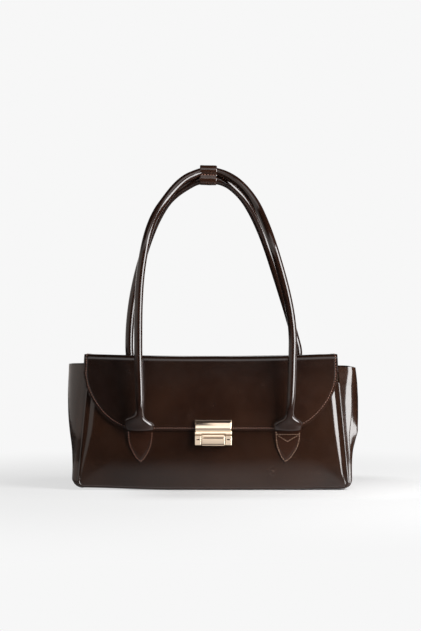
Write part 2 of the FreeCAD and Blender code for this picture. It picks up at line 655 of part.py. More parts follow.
FRONT_LEFT_LOW = vec(-83.0, FRONT_LEG_Y, PIVOT_LOW)
FRONT_LEFT_HIGH = vec(-77.4, FRONT_LEG_Y, PIVOT_HIGH)
FRONT_RIGHT_LOW = vec(86.7, FRONT_LEG_Y, PIVOT_LOW)
FRONT_RIGHT_HIGH = vec(69.3, FRONT_LEG_Y, PIVOT_HIGH)
REAR_LEFT_LOW = vec(-92.5, REAR_LEG_Y, PIVOT_LOW)
REAR_LEFT_HIGH = vec(-78.2, REAR_LEG_Y, PIVOT_HIGH)
REAR_RIGHT_LOW = vec(91.2, REAR_LEG_Y, PIVOT_LOW)
REAR_RIGHT_HIGH = vec(64.3, REAR_LEG_Y, PIVOT_HIGH)

FRONT_ARCH = up_then_down(
    [(FRONT_LEFT_HIGH, (7.5, 0)), (vec(-56.7, -22, 316.7), (33, 0.6)), (vec(-21, -4.4, 348.3), (55, 0.5))],
    vec(APEX_X, 0, APEX_FRONT_Z),
    [(FRONT_RIGHT_HIGH, (-15, 0)), (vec(50.6, -25, 308.1), (-25, 0.6)), (vec(14.4, -4, 347.8), (-64, 0.4))])
REAR_ARCH = up_then_down(
    [(REAR_LEFT_HIGH, (13, 0)), (vec(-53.5, 22, 312.9), (35, -0.6)), (vec(-24.3, 5, 338.5), (64, -0.5))],
    vec(APEX_X, 0, APEX_REAR_Z),
    [(REAR_RIGHT_HIGH, (-17, 0)), (vec(38.9, 22, 312.7), (-33, -0.6)), (vec(11.7, 4, 338.6), (-63, -0.4))])


def build_handles():
    tabs = [build_tab("front_left_tab", -80.2, 0.4, FRONT_LEFT_LOW, -HALF_DEPTH, FRONT_LEG_Y),
            build_tab("front_right_tab", 82.0, -2.6, FRONT_RIGHT_LOW, -HALF_DEPTH, FRONT_LEG_Y)]
    rear_left = vec(REAR_LEFT_LOW.x, -REAR_LEG_Y, PIVOT_LOW)
    rear_right = vec(REAR_RIGHT_LOW.x, -REAR_LEG_Y, PIVOT_LOW)
    tabs.append(build_tab("rear_left_tab", -86.0, -0.4, rear_left, -HALF_DEPTH, -REAR_LEG_Y))
    tabs.append(build_tab("rear_right_tab", 86.0, 0.8, rear_right, -HALF_DEPTH, -REAR_LEG_Y))
    for name, shape in tabs:
        save(name, mirror_y(shape) if name.startswith("rear") else shape)

    save("front_left_leg", leg(FRONT_LEFT_LOW, heading(0, 0), FRONT_LEFT_HIGH, heading(7.5, 0)))
    save("front_right_leg", leg(FRONT_RIGHT_LOW, heading(-4, 0), FRONT_RIGHT_HIGH, heading(-15, 0)))
    save("rear_left_leg", leg(REAR_LEFT_LOW, heading(0, 0), REAR_LEFT_HIGH, heading(13, 0)))
    save("rear_right_leg", leg(REAR_RIGHT_LOW, heading(-12, 0), REAR_RIGHT_HIGH, heading(-17, 0)))
    save("front_arch", arch(FRONT_ARCH))
    save("rear_arch", arch(REAR_ARCH))


def tube_room(stations, radius):
    """The space round an arch between its first and last bends, as wide as the given radius."""
    edges = []
    for (p, p_dir), (q, q_dir) in zip(stations[1:-1], stations[2:-1]):
        edges += biarc(p, p_dir, q, q_dir)
    return swept_tube(edges, radius)


def build_keeper():
    """Band wrapped round both tubes and stitched between them."""
    inner = TUBE_R + KEEPER_PLAY
    outer = inner + KEEPER_WALL
    x0 = APEX_X - KEEPER_HALF
    length = 2 * KEEPER_HALF
    along = vec(1, 0, 0)
    rings = [Part.makeCylinder(outer, length, vec(x0, 0, z), along) for z in (APEX_FRONT_Z, APEX_REAR_Z)]
    waist = outer - KEEPER_PINCH
    band = rings[0].fuse(rings[1]).fuse(block(x0, x0 + length, -waist, waist, APEX_REAR_Z, APEX_FRONT_Z))
    band = band.cut(tube_room(FRONT_ARCH, inner)).cut(tube_room(REAR_ARCH, inner))
    save("handle_keeper", band.removeSplitter())


def main():
    build_body()
    build_pocket()
    build_flap()
    build_clasp_plate()
    build_tongue()
    build_clasp_body()
    build_press_bar()
    build_catch_spring()
    build_handles()
    build_keeper()


main()
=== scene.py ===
# %% [markdown]
# # A baguette bag in glossy leather
# The bag is a low, long shoulder bag. Most of it is leather sheet: a maker cuts flat patterns, turns
# their edges, sews them and bends them over the frame. The pieces here are made the same way. The
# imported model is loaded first, because every piece has to stay where its part of the model is.

# %% Load the frame
import math

import bpy
import numpy as np
from mathutils import Matrix, Vector, noise


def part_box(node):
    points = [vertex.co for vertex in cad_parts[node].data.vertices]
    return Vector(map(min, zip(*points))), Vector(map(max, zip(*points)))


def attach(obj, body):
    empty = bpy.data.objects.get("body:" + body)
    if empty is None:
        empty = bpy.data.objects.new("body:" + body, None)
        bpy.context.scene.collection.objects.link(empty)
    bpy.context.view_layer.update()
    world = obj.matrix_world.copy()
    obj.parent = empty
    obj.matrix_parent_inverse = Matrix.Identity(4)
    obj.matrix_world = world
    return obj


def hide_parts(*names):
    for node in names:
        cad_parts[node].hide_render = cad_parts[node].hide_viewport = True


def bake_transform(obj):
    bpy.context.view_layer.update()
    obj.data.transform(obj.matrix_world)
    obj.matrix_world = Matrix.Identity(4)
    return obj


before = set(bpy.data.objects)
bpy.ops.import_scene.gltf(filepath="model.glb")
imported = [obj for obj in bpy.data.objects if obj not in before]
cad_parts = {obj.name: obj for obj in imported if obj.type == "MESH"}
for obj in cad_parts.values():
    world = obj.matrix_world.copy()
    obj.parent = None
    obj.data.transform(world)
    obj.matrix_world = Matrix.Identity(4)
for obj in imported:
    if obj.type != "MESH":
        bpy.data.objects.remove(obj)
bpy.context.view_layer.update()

MM = 0.001

# %% [markdown]
# ## The sizes of the bag
# Lengths are in millimetres, as a bag maker writes them, and MM turns them into metres when a point
# is placed. The large sizes are read from the frame, so the leather stays on its model. X runs to the
# right, Y to the back and Z up.

# %% Sizes of the body


def box_mm(node):
    """Lowest and highest corner of a part of the frame, in millimetres."""
    low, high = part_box(node)
    return low / MM, high / MM


front_low, front_high = box_mm("front_panel")
_, back_high = box_mm("back_panel")
_, gusset_high = box_mm("right_gusset")
DEPTH = -front_low.y                 # face of the front and back panels, from the middle
HALF_LOW = front_high.x              # half width of the panels at the ground
FRONT_TOP = front_high.z             # upper edge of the front panel
BACK_TOP = back_high.z
GUSSET_TOP = gusset_high.z
CORNER = 5.0                         # radius of the lower corners
NARROWING = 10 / 117                 # how much the panels narrow for each millimetre of height
LEAN_FROM = 54.4                     # the panels start to lean in here
LEAN_OVER = 15.2                     # and have their full slope after this
FRONT_SLOPE = 6 / 55.5
BACK_SLOPE = 7 / 84
LEATHER = 1.6
THIN_LEATHER = 1.4
print("panels", round(2 * HALF_LOW), "mm wide,", round(BACK_TOP), "mm high")

# %% [markdown]
# ## Tools for leather sheets
# A pattern piece starts as a grid primitive, flat, in millimetres. `trim` cuts it along its outline
# with the bisect tool, as a knife follows a pattern, `refine` divides the faces near the edge, where
# the turned edge and the stitches need more points, and `bend_sheet` lifts and bends it to its place.
# Solidify gives it its thickness. Sculpting by hand could give the same shapes, but a rule for the
# height of each point keeps left and right alike and can be changed later.

# %% Selecting and finishing


def rest():
    """Back to object mode, with nothing selected."""
    if bpy.context.mode != "OBJECT":
        bpy.ops.object.mode_set(mode="OBJECT")
    bpy.ops.object.select_all(action="DESELECT")


def only(piece):
    """Select this piece alone and make it active."""
    rest()
    piece.select_set(True)
    bpy.context.view_layer.objects.active = piece


def name_piece(piece, name):
    piece.name = name
    piece.data.name = name
    return piece


def apply_modifiers(piece):
    only(piece)
    for modifier in list(piece.modifiers):
        bpy.ops.object.modifier_apply(modifier=modifier.name)


def edit_all(piece):
    """Enter edit mode with the whole piece selected."""
    only(piece)
    bpy.ops.object.mode_set(mode="EDIT")
    bpy.ops.mesh.select_all(action="SELECT")


def edit_some(piece, kind, wanted):
    """Enter edit mode with some faces or edges selected, from a yes or no for each of them."""
    only(piece)
    bpy.ops.object.mode_set(mode="EDIT")
    bpy.ops.mesh.select_mode(type=kind)
    bpy.ops.mesh.select_all(action="DESELECT")
    bpy.ops.object.mode_set(mode="OBJECT")
    parts = piece.data.polygons if kind == "FACE" else piece.data.edges
    parts.foreach_set("select", list(wanted))
    bpy.ops.object.mode_set(mode="EDIT")


def finish(piece, material, nodes=(), body=None, angle=38):
    """Shade a piece, give it its material, hide the parts of the frame that it stands for, and attach it by
    name to the body that carries it.

    For a piece that bends, body holds both bodies and the two points that it bends between; these are not used,
    and the piece is only fixed where it stands.
    """
    only(piece)
    bpy.ops.object.shade_smooth_by_angle(angle=math.radians(angle))
    piece.data.materials.clear()
    piece.data.materials.append(material)
    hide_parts(*nodes)
    if isinstance(body, str):
        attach(piece, body)
    else:
        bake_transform(piece)
    print(piece.name, len(piece.data.polygons), "faces")


# %% Cutting a pattern


def steps(start, end, pitch):
    """Evenly spaced values from start to end, about a pitch apart."""
    count = max(1, round(abs(end - start) / pitch))
    return [start + (end - start) * i / count for i in range(count + 1)]


def sheet(name, columns, rows, taper=lambda up: 1):
    """A grid primitive with its columns and rows at given places; a taper narrows it with height."""
    rest()
    bpy.ops.mesh.primitive_grid_add(x_subdivisions=len(columns) - 1, y_subdivisions=len(rows) - 1, size=1)
    piece = name_piece(bpy.context.object, name)
    for vertex in piece.data.vertices:
        across = round((vertex.co.x + 0.5) * (len(columns) - 1))
        up = rows[round((vertex.co.y + 0.5) * (len(rows) - 1))]
        vertex.co = (columns[across] * taper(up), up, 0)
    return piece


def trim(piece, outline):
    """Cut a flat sheet along a convex outline, and keep the inside."""
    middle = sum((Vector(point) for point in outline), Vector((0, 0))) / len(outline)
    edit_all(piece)
    for a, b in zip(outline[:-1], outline[1:]):
        run = Vector(b) - Vector(a)
        outward = Vector((run.y, -run.x)).normalized()
        if outward.dot(Vector(a) - middle) < 0:
            outward = -outward
        bpy.ops.mesh.select_all(action="SELECT")
        bpy.ops.mesh.bisect(plane_co=(a[0], a[1], 0), plane_no=(outward.x, outward.y, 0),
                            clear_outer=True, threshold=0.001)
    bpy.ops.mesh.select_all(action="SELECT")
    bpy.ops.mesh.remove_doubles(threshold=0.02)
    rest()


def distances(points, outline):
    """How far each flat point is from an outline."""
    nearest = np.full(len(points), 1e9)
    for a, b in zip(outline[:-1], outline[1:]):
        a = np.array(a, float)
        run = np.array(b, float) - a
        share = np.clip((points - a) @ run / (run @ run), 0, 1)
        nearest = np.minimum(nearest, np.linalg.norm(points - a - share[:, None] * run, axis=1))
    return nearest


def refine(piece, outline, width, cuts):
    """Divide the faces that are nearer to the outline than the width."""
    rest()
    centres = np.array([polygon.center[:2] for polygon in piece.data.polygons])
    edit_some(piece, "FACE", distances(centres, outline) < width)
    bpy.ops.mesh.subdivide(number_cuts=cuts)
    rest()


def bend_sheet(piece, outline, relief, place):
    """Give each point its height over the flat pattern, and bend the pattern to its place."""
    points = np.array([vertex.co[:2] for vertex in piece.data.vertices])
    near = distances(points, outline)
    edge = piece.data.attributes.new("edge", "FLOAT", "POINT")
    edge.data.foreach_set("value", near.astype(np.float32))
    for vertex, distance in zip(piece.data.vertices, near):
        x, up = vertex.co.x, vertex.co.y
        vertex.co = Vector(place(x, up, relief(x, up, distance))) * MM
    piece.data.update()


def thicken(piece, thickness):
    """Give a sheet its thickness, on its inner side."""
    modifier = piece.modifiers.new("thickness", "SOLIDIFY")
    modifier.thickness = thickness * MM
    modifier.offset = -1
    apply_modifiers(piece)


def cut_out(name, columns, rows, outline, relief, place, thickness, cut=True, fine=None, **flat):
    """A piece of leather, cloth or board: a flat sheet, cut, bent to its place and made thick."""
    piece = sheet(name, columns, rows, **flat)
    if cut:
        trim(piece, outline)
    if fine:
        refine(piece, outline, *fine)
    bend_sheet(piece, outline, relief, place)
    thicken(piece, thickness)
    return piece


def smooth(value, start, end):
    """A soft step from 0 at start to 1 at end."""
    share = min(max((value - start) / (end - start), 0), 1)
    return share * share * (3 - 2 * share)


def ridge(value, centre, width):
    """A soft ridge of height 1."""
    return math.exp(-((value - centre) / width) ** 2)

STITCH_IN = 2.8                      # the stitches run this far from a turned edge


def turned_edge(distance, roll=0.35, dip=0.32):
    """The edge rolls down, and the leather is pressed in along its stitches."""
    return -roll * ridge(distance, 0, 1.1) - dip * ridge(distance, STITCH_IN, 0.9)


def waves(x, y, size, height):
    """Gentle unevenness of worn leather: smooth noise with waves of about the given size."""
    return height * noise.noise(Vector((x / size, y / size, 0.37)))


# %% [markdown]
# ## Thread
# A stitch is one short, thick bit of thread that dips into the leather at both ends. It is modelled
# once, from a low sphere, and then copied along each seam, so that hundreds of them stay light.

# %% Stitches


def model_stitch(length, thickness):
    """One stitch along X, with its upper side towards Z, as plain lists of points and faces."""
    rest()
    bpy.ops.mesh.primitive_uv_sphere_add(segments=8, ring_count=5, radius=1, rotation=(0, math.pi / 2, 0))
    stitch = bpy.context.object
    bpy.ops.object.transform_apply(location=True, rotation=True, scale=True)
    edit_all(stitch)
    bpy.ops.transform.resize(value=(length / 2, thickness / 2, thickness / 2))
    rest()
    points = np.array([vertex.co[:] for vertex in stitch.data.vertices])
    faces = [tuple(polygon.vertices) for polygon in stitch.data.polygons]
    bpy.data.objects.remove(stitch)
    return points, faces


def walk(row, pitch):
    """Middles, directions and normals of the stitches along a row of (point, normal) pairs."""
    points = [Vector(point) for point, _ in row]
    normals = [Vector(normal) for _, normal in row]
    travelled = pitch / 2
    for a, b, normal in zip(points[:-1], points[1:], normals[:-1]):
        run = b - a
        while travelled <= run.length:
            yield a + run * (travelled / run.length), run.normalized(), normal
            travelled += pitch
        travelled -= run.length


def sew(name, rows, pitch=2.8, length=1.35, thickness=0.8):
    """Copies of one stitch along rows, as one piece."""
    shape, shape_faces = model_stitch(length, thickness)
    vertices = []
    faces = []
    for row in rows:
        for middle, along, normal in walk(row, pitch):
            side = normal.cross(along).normalized()
            up = along.cross(side)
            turned = shape @ np.array([along[:], side[:], up[:]]) + np.array(middle[:])
            faces += [tuple(index + len(vertices) for index in face) for face in shape_faces]
            vertices += [tuple(point) for point in turned * MM]
    mesh = bpy.data.meshes.new(name)
    mesh.from_pydata(vertices, [], faces)
    piece = bpy.data.objects.new(name, mesh)
    bpy.context.collection.objects.link(piece)
    return piece


# %% [markdown]
# ## Tools for finishes
# A finish is a set of shader nodes. The class `Signal` wraps what comes out of a node, so that
# masks can be written as sums, and `Finish` holds one material and adds its nodes.

# %% Shader maths


class Signal:
    """What a node gives. The usual signs add the Math nodes."""

    def __init__(self, surface, socket):
        self.surface = surface
        self.socket = socket

    def maths(self, operation, first, second):
        return self.surface.node("ShaderNodeMath", {"operation": operation}, {0: first, 1: second})

    def __add__(self, other):
        return self.maths("ADD", self, other)

    __radd__ = __add__

    def __sub__(self, other):
        return self.maths("SUBTRACT", self, other)

    def __rsub__(self, other):
        return self.maths("SUBTRACT", other, self)

    def __mul__(self, other):
        return self.maths("MULTIPLY", self, other)

    __rmul__ = __mul__


class Surroundings:
    """The nodes of a material or of the world, and how they are added and joined."""

    def __init__(self, owner):
        self.nodes = owner.node_tree.nodes
        self.links = owner.node_tree.links

    def node(self, kind, settings=None, inputs=None, output=0):
        """Add a node, with its settings first and then the values or signals of its sockets."""
        made = self.nodes.new(kind)
        for key, value in (settings or {}).items():
            setattr(made, key, value)
        for key, value in (inputs or {}).items():
            self.feed(made.inputs[key], value)
        return Signal(self, made.outputs[output])

    def feed(self, socket, value):
        if isinstance(value, Signal):
            self.links.new(value.socket, socket)
        else:
            socket.default_value = value

    def parts(self, vector):
        """The X, Y and Z of a vector."""
        split = self.nodes.new("ShaderNodeSeparateXYZ")
        self.feed(split.inputs[0], vector)
        return [Signal(self, split.outputs[axis]) for axis in "XYZ"]

    def vectors(self, operation, *values, output=0):
        """Vector maths; output 1 is a plain number."""
        return self.node("ShaderNodeVectorMath", {"operation": operation}, dict(enumerate(values)), output)

    def rays(self, *kinds):
        """Which rays are asking, such as the camera's."""
        path = self.nodes.new("ShaderNodeLightPath")
        return [Signal(self, path.outputs[f"Is {kind} Ray"]) for kind in kinds]

    def step(self, signal, low, high):
        """Soft step of a signal from 0 at low to 1 at high."""
        values = {"Value": signal, "From Min": low, "From Max": high}
        return self.node("ShaderNodeMapRange", {"interpolation_type": "SMOOTHSTEP"}, values)


class Finish(Surroundings):
    """A material with one Principled shader, whose fixed numbers are set on its own sockets."""

    def __init__(self, name, **fixed):
        self.material = bpy.data.materials.new(name)
        self.material.use_nodes = True
        super().__init__(self.material)
        self.shader = self.nodes["Principled BSDF"]
        for socket, value in fixed.items():
            self.shader.inputs[socket.replace("_", " ")].default_value = value

    def set(self, socket, value):
        self.feed(self.shader.inputs[socket], value)

    def place(self):
        return self.node("ShaderNodeTexCoord", output="Object")

    def attribute(self, name):
        return self.node("ShaderNodeAttribute", {"attribute_name": name}, output=2)

    def clouds(self, where, scale, detail=3.0, roughness=0.5, distortion=0.0):
        values = {"Vector": where, "Scale": scale, "Detail": detail, "Roughness": roughness,
                  "Distortion": distortion}
        return self.node("ShaderNodeTexNoise", {}, values)

    def mix(self, mask, under, over):
        """A colour that goes from one to another with a mask."""
        return self.node("ShaderNodeMix", {"data_type": "RGBA"}, {0: mask, 6: under, 7: over}, 2)

    def bump(self, height, distance, under=None):
        values = {"Height": height, "Distance": distance, "Strength": 1.0}
        if under:
            values["Normal"] = under
        return self.node("ShaderNodeBump", {}, values)


def colour(red, green, blue):
    """A colour as a screen shows it (0 to 255), turned into light values."""
    light = [(value / 255) ** 2.2 for value in (red, green, blue)]
    return (*light, 1.0)


# %% [markdown]
# ## Leather
# The leather is box calf: dyed nearly black brown, waxed and polished, so that it mirrors the
# studio softly. Its colour drifts a little, fine creases break the reflections, a few scuffs are paler
# and duller, and the cut edges are painted darker. On the flap, painted shade darkens the colour
# high up and towards the left. The `edge` attribute says how far a point is from the edge of its
# pattern.

# %% Leather finish


def leather(name, deep, lit, gloss=0.24, scuffs=1.0, painted_shade=0.0):
    """Waxed leather between two browns; with painted shade it is darker high up and towards the left."""
    made = Finish(name, Coat_Roughness=0.1, Coat_IOR=1.5, Specular_IOR_Level=0.35)
    where = made.place()
    drift = made.clouds(where, 14, 4)
    mottle = made.clouds(where, 90, 5, 0.6)
    base = made.mix(made.step(drift * 0.85 + mottle * 0.15, 0.3, 0.7), deep, lit)
    # Painted shade: on the flap the colour is darkened towards a dark brown high up and towards the left.
    if painted_shade:
        x, _, z = made.parts(where)
        near_top = made.step(z + (drift - 0.5) * 0.03, 0.095, 0.14)
        near_left = made.step(0 - x + (drift - 0.5) * 0.03, 0.05, 0.12)
        dark = near_top * 0.8 + near_left - near_top * near_left * 0.8
        base = made.mix(dark * painted_shade, base, colour(19, 11, 8))
    fine = made.clouds(where, 420, 4, 0.65)
    stretched = made.node("ShaderNodeMapping", {}, {"Vector": where, "Scale": (1.0, 1.0, 3.0)})
    folds = made.step(made.clouds(stretched, 55, 6, 0.62, 0.6), 0.42, 0.62)
    scratch_lines = made.node("ShaderNodeTexVoronoi", {"feature": "DISTANCE_TO_EDGE"},
                              {"Vector": stretched, "Scale": 60.0})
    scratch_area = made.step(made.clouds(where, 22, 3, 0.5), 0.66, 0.74)
    scratch = (1 - made.step(scratch_lines, 0.004, 0.02)) * scratch_area * scuffs
    worn = made.mix(scratch * 0.55, base, colour(112, 90, 80))
    edge = made.attribute("edge")
    painted = (1 - made.step(edge, 0.0, 0.5)) * made.step(edge, -1.0, -0.5)
    made.set("Base Color", made.mix(painted * 0.5, worn, colour(24, 14, 11)))
    made.set("Roughness", gloss + (mottle - 0.5) * 0.16 + scratch * 0.25)
    made.set("Coat Weight", 0.35 - scratch * 0.3)
    made.set("Normal", made.bump(fine, 0.00001, made.bump(folds * scratch_area, 0.00006)))
    return made.material


body_leather = leather("body_leather", colour(31, 19, 13), colour(42, 27, 19), scuffs=0.3)
flap_leather = leather("flap_leather", colour(34, 21, 15), colour(46, 30, 22), scuffs=0.0, painted_shade=0.75)
handle_leather = leather("handle_leather", colour(38, 24, 18), colour(48, 32, 25), gloss=0.16, scuffs=0.4)
cord_leather = leather("cord_leather", colour(38, 24, 18), colour(50, 34, 26), gloss=0.14, scuffs=0.3)
facing_leather = leather("facing_leather", colour(52, 34, 26), colour(70, 48, 38), gloss=0.45, scuffs=0.2)
print("leathers:", body_leather.name, handle_leather.name, facing_leather.name)

# %% [markdown]
# ## Cloth, board, thread and metal
# The lining is a plain weave: two crossed rows of threads, which read the pattern's own UV map, so
# that the weave follows the cloth. The board inside is grey-brown felted fibre. The lock is steel with
# a pale gold plating, polished but lightly brushed. The thread is a reddish brown.

# %% Other finishes


def cloth(name, thread_dark, thread_light, threads):
    """Plain weave, with threads counted along each side of the UV map."""
    made = Finish(name, Sheen_Weight=0.3, Specular_IOR_Level=0.2)
    uv = made.node("ShaderNodeTexCoord", output="UV")
    warp = made.node("ShaderNodeTexWave", {"bands_direction": "X"}, {"Vector": uv, "Scale": threads / 6.28})
    weft = made.node("ShaderNodeTexWave", {"bands_direction": "Y"}, {"Vector": uv, "Scale": threads / 12.5})
    weave = warp * weft
    slub = made.clouds(made.place(), 160, 4)
    made.set("Base Color", made.mix(weave * 0.5 + slub * 0.5, thread_dark, thread_light))
    made.set("Roughness", 0.8 + slub * 0.15)
    made.set("Normal", made.bump(weave, 0.0002))
    return made.material


def board(name):
    made = Finish(name, Roughness=0.9)
    fibres = made.clouds(made.place(), 700, 6, 0.7)
    made.set("Base Color", made.mix(fibres, colour(112, 96, 76), colour(160, 142, 116)))
    made.set("Normal", made.bump(fibres, 0.0001))
    return made.material


def metal(name, tint, roughness, brushed):
    """Plated metal, brushed along X."""
    made = Finish(name, Metallic=1.0)
    lines = made.node("ShaderNodeMapping", {}, {"Vector": made.place(), "Scale": (0.04, 1.0, 1.0)})
    brush = made.clouds(lines, 3200, 3, 0.6)
    cloud = made.clouds(made.place(), 130, 3)
    plated = made.mix(cloud, tint, tuple(0.93 * part for part in tint[:3]) + (1.0,))
    hollow = made.attribute("hollow")
    # Painted shade: the base colour is darkened to a dark brown in the hollows, which are also made rougher
    # below.
    made.set("Base Color", made.mix(hollow * 0.9, plated, colour(58, 42, 24)))
    made.set("Roughness", roughness + (brush - 0.5) * 0.1 + cloud * 0.04 + hollow * 0.3)
    made.set("Normal", made.bump(brush, brushed))
    return made.material


def thread(name, dark, light):
    made = Finish(name, Roughness=0.6, Sheen_Weight=0.4)
    twist = made.clouds(made.place(), 900, 2)
    made.set("Base Color", made.mix(twist, dark, light))
    made.set("Normal", made.bump(twist, 0.0001))
    return made.material


lining_cloth = cloth("lining_cloth", colour(84, 66, 50), colour(120, 98, 76), 260)
stiff_board = board("stiff_board")
gold = metal("pale_gold", (0.83, 0.66, 0.50, 1), 0.14, 0.000004)
steel = metal("plated_steel", (0.62, 0.55, 0.48, 1), 0.24, 0.000006)
spring_steel = metal("spring_steel", (0.36, 0.32, 0.28, 1), 0.3, 0.000006)
brown_thread = thread("brown_thread", colour(100, 60, 46), colour(140, 94, 74))
pale_thread = thread("pale_thread", colour(136, 104, 84), colour(176, 144, 120))
print("metals:", gold.name, steel.name, spring_steel.name)

# %% [markdown]
# ## The front and back panels
# Each panel is one leather sheet over a board. It leans in above the middle, swells a little where the
# bag is full, and rolls down into a groove beside the seam cord, which catches a bright line of light.
# The pattern is a rectangle with slanted sides and round lower corners.

# %% Outline and slope of a panel


def side_x(z):
    """Half width of the panels at a height."""
    return HALF_LOW - NARROWING * z


def lean(z, slope):
    """How far a panel has leaned in at a height."""
    run = z - LEAN_FROM
    if run <= 0:
        return 0.0
    if run < LEAN_OVER:
        return slope * run * run / (2 * LEAN_OVER)
    return slope * (run - LEAN_OVER / 2)


def front_y(z):
    """Outer face of the front panel."""
    return -DEPTH + lean(z, FRONT_SLOPE)


def back_y(z):
    """Outer face of the back panel."""
    return DEPTH - lean(z, BACK_SLOPE)


def settle(x, z):
    """The full bag stands on the middle of its base, and the lower corners lift off a little."""
    lift = 2.6 if x < 0 else 1.2
    return lift * smooth(abs(x), 45, 150) * (1 - smooth(z, 0, 75))


def arc(centre, radius, start, end, count):
    """Points on an arc, from one angle to another in degrees."""
    angles = [math.radians(angle) for angle in steps(start, end, abs(end - start) / count)]
    return [(centre[0] + radius * math.cos(angle), centre[1] + radius * math.sin(angle)) for angle in angles]


def panel_outline(top, inset, low=0.5):
    """From the top left down, along the bottom and up to the top right, drawn in by an inset."""
    radius = max(CORNER - inset, 1.5)
    corner = (side_x(low) - inset - radius, low + inset + radius)
    right = arc(corner, radius, -90, 4, 8) + [(side_x(top) - inset, top)]
    left = [(-x, z) for x, z in reversed(right)]
    return left + right


# %% Front and back panels


EDGE_SLOPE = math.tan(math.radians(27))


def rolled_edge(edge, groove, bevel):
    """The leather turns down in a slanting band, and rises again from the groove to the seam."""
    soft = 0.35 * bevel + 0.3
    over = groove + bevel + soft - edge
    if over <= 0:
        return 0.0
    fall = over * over / (4 * soft) if over < 2 * soft else over - soft
    return -EDGE_SLOPE * min(fall, bevel)


def front_relief(x, z, edge):
    """The front panel swells low down; its groove and its slanting band are wider up the sides."""
    up_the_side = smooth(z, 2, 20) if x > 0 else smooth(z, 8, 75)
    groove = 1.0 + 3.5 * up_the_side
    full = 1.5 * smooth(edge, 0, 40) * ridge(z, 22, 26)
    uneven = waves(x, z, 60, 0.5) + waves(x + 300, z, 24, 0.08)
    return full + uneven * smooth(edge, 0, 25) + rolled_edge(edge, groove, 1.0 + 2.8 * smooth(z, 8, 75))


def back_relief(x, z, edge):
    full = 1.8 * smooth(edge, 0, 45) * ridge(z, 60, 45)
    uneven = waves(x, z + 200, 60, 0.6) + waves(x + 300, z, 24, 0.12)
    return full + uneven * smooth(edge, 0, 25) + rolled_edge(edge, 2.0, 2.0)


def back_sag(x, z):
    """The upper edge of the back sinks a little in the middle."""
    return (1.7 + 2.0 * (1 - (x / side_x(z)) ** 2)) * smooth(z, 90, BACK_TOP)


def place_front(x, z, lift):
    return x, front_y(z) - lift, z + settle(x, z)


def place_back(x, z, lift):
    return -x, back_y(z) + lift, z + settle(-x, z) - back_sag(x, z)


def panel(name, top, relief, place):
    """A leather panel, with its rows and columns closest at the edges and along its sides."""
    wide = side_x(0)
    columns = steps(-wide, -wide + 12, 0.6)[:-1] + steps(-wide + 12, wide - 12, 3.2)
    columns += steps(wide - 12, wide, 0.6)[1:]
    rows = steps(0, 9, 0.6)[:-1] + steps(9, top, 2.4)
    return cut_out(name, columns, rows, panel_outline(top, 0.6), relief, place, LEATHER,
                   taper=lambda z: side_x(z) / wide)


FRONT = ("front", FRONT_TOP, front_relief, place_front)
BACK = ("back", BACK_TOP, back_relief, place_back)
panels = {}
for side, top, relief, place in (FRONT, BACK):
    panels[side] = panel(side + "_panel_leather", top, relief, place)
    finish(panels[side], body_leather, [side + "_panel"], "bag")

# %% [markdown]
# ## Gussets and base
# The two gussets and the base are strips between the panels. A gusset is soft: it bulges sideways,
# more on the left than on the right, is pinched above the lower corner, and falls into upright folds.
# Its pattern runs from under the corner up to the mouth, so one rule follows the round corner and the
# side. The folds are soft ridges and valleys that fade towards the base.

# %% Path of a gusset

ARC_RUN = CORNER * math.pi / 2
CORNER_X = side_x(0) - CORNER
GUSSET_RUN = ARC_RUN + GUSSET_TOP - CORNER


def gusset_line(run):
    """Place and outward direction (x, z) along the right gusset, from under the corner to the top."""
    if run < ARC_RUN:
        angle = run / CORNER - math.pi / 2
        return (CORNER_X + CORNER * math.cos(angle), CORNER + CORNER * math.sin(angle),
                math.cos(angle), math.sin(angle))
    z = run - ARC_RUN + CORNER
    return side_x(z), z, 1.0, 0.0


LEFT_BULGE = ((0, 8.0), (20, 9.0), (46, 13.0), (57, 15.6), (73, 18.8), (85, 21.3), (102, 23.3), (138, 26.0))
RIGHT_BULGE = ((0, 5.6), (22, 7.0), (38, 9.4), (48, 12.6), (55, 16.0), (73, 19.8), (99, 22.2), (125, 23.3),
               (138, 22.4))


def gusset_bulge(z, left):
    """How far the gusset stands out in the middle of its depth."""
    heights, bulges = zip(*(LEFT_BULGE if left else RIGHT_BULGE))
    near = sum(np.interp(z + shift, heights, bulges) for shift in (-5, 0, 5)) / 3
    return float(near) * smooth(z, -1, 9)


FACING_SLOPE = 0.07                  # a stretch beside the seam faces the front,
CATCH_SLOPE = 0.5                    # the next one slants and catches the light from the right


def gusset_reach(depth, half, z, left):
    """How far the gusset stands out at a depth behind its seam, at a height."""
    bulge = gusset_bulge(z, left)
    wide = 4.4 if left else float(np.interp(z, (0, 40, 78, 99, 116, 133), (2.5, 4.4, 4.6, 6.0, 8.5, 12.5)))
    facing = min(wide, 0.6 * bulge)
    catching = min(float(np.interp(z, (0, 40, 55, 75, 99, 133), (1.0, 1.5, 2.3, 5.6, 7.0, 4.4))),
                   0.7 * (bulge - facing))
    first, second = FACING_SLOPE * facing, CATCH_SLOPE * catching
    if depth < first:
        return depth / FACING_SLOPE
    if depth < first + second:
        return facing + (depth - first) / CATCH_SLOPE
    over = depth - first - second
    width, room = bulge - facing - catching, half - first - second
    turned = bulge - width * (1 - over / room) ** (1.3 * room / max(width, 1))
    if left:
        return turned
    second_fold = ridge(z, 64, 13)
    slanting = facing + catching + min(over / 0.55, 0.93 * width + 0.07 * width * over / room)
    return turned + (slanting - turned) * second_fold - 0.9 * second_fold * ridge(over, 0.5, 0.45)


def gusset_section(across, half, z, left):
    """The same, softened, for a place across the gusset from -1 at the front to 1 at the back."""
    depth = half * (1 - abs(across))
    near = (min(max(depth + shift, 0), half) for shift in (-0.35, 0, 0.35))
    return sum(gusset_reach(place, half, max(z, 0.1), left) for place in near) / 3


def seam_back(z):
    """How far the side seams lie behind the face of the front and back panels."""
    return 2.2 * smooth(z, 4, 30)


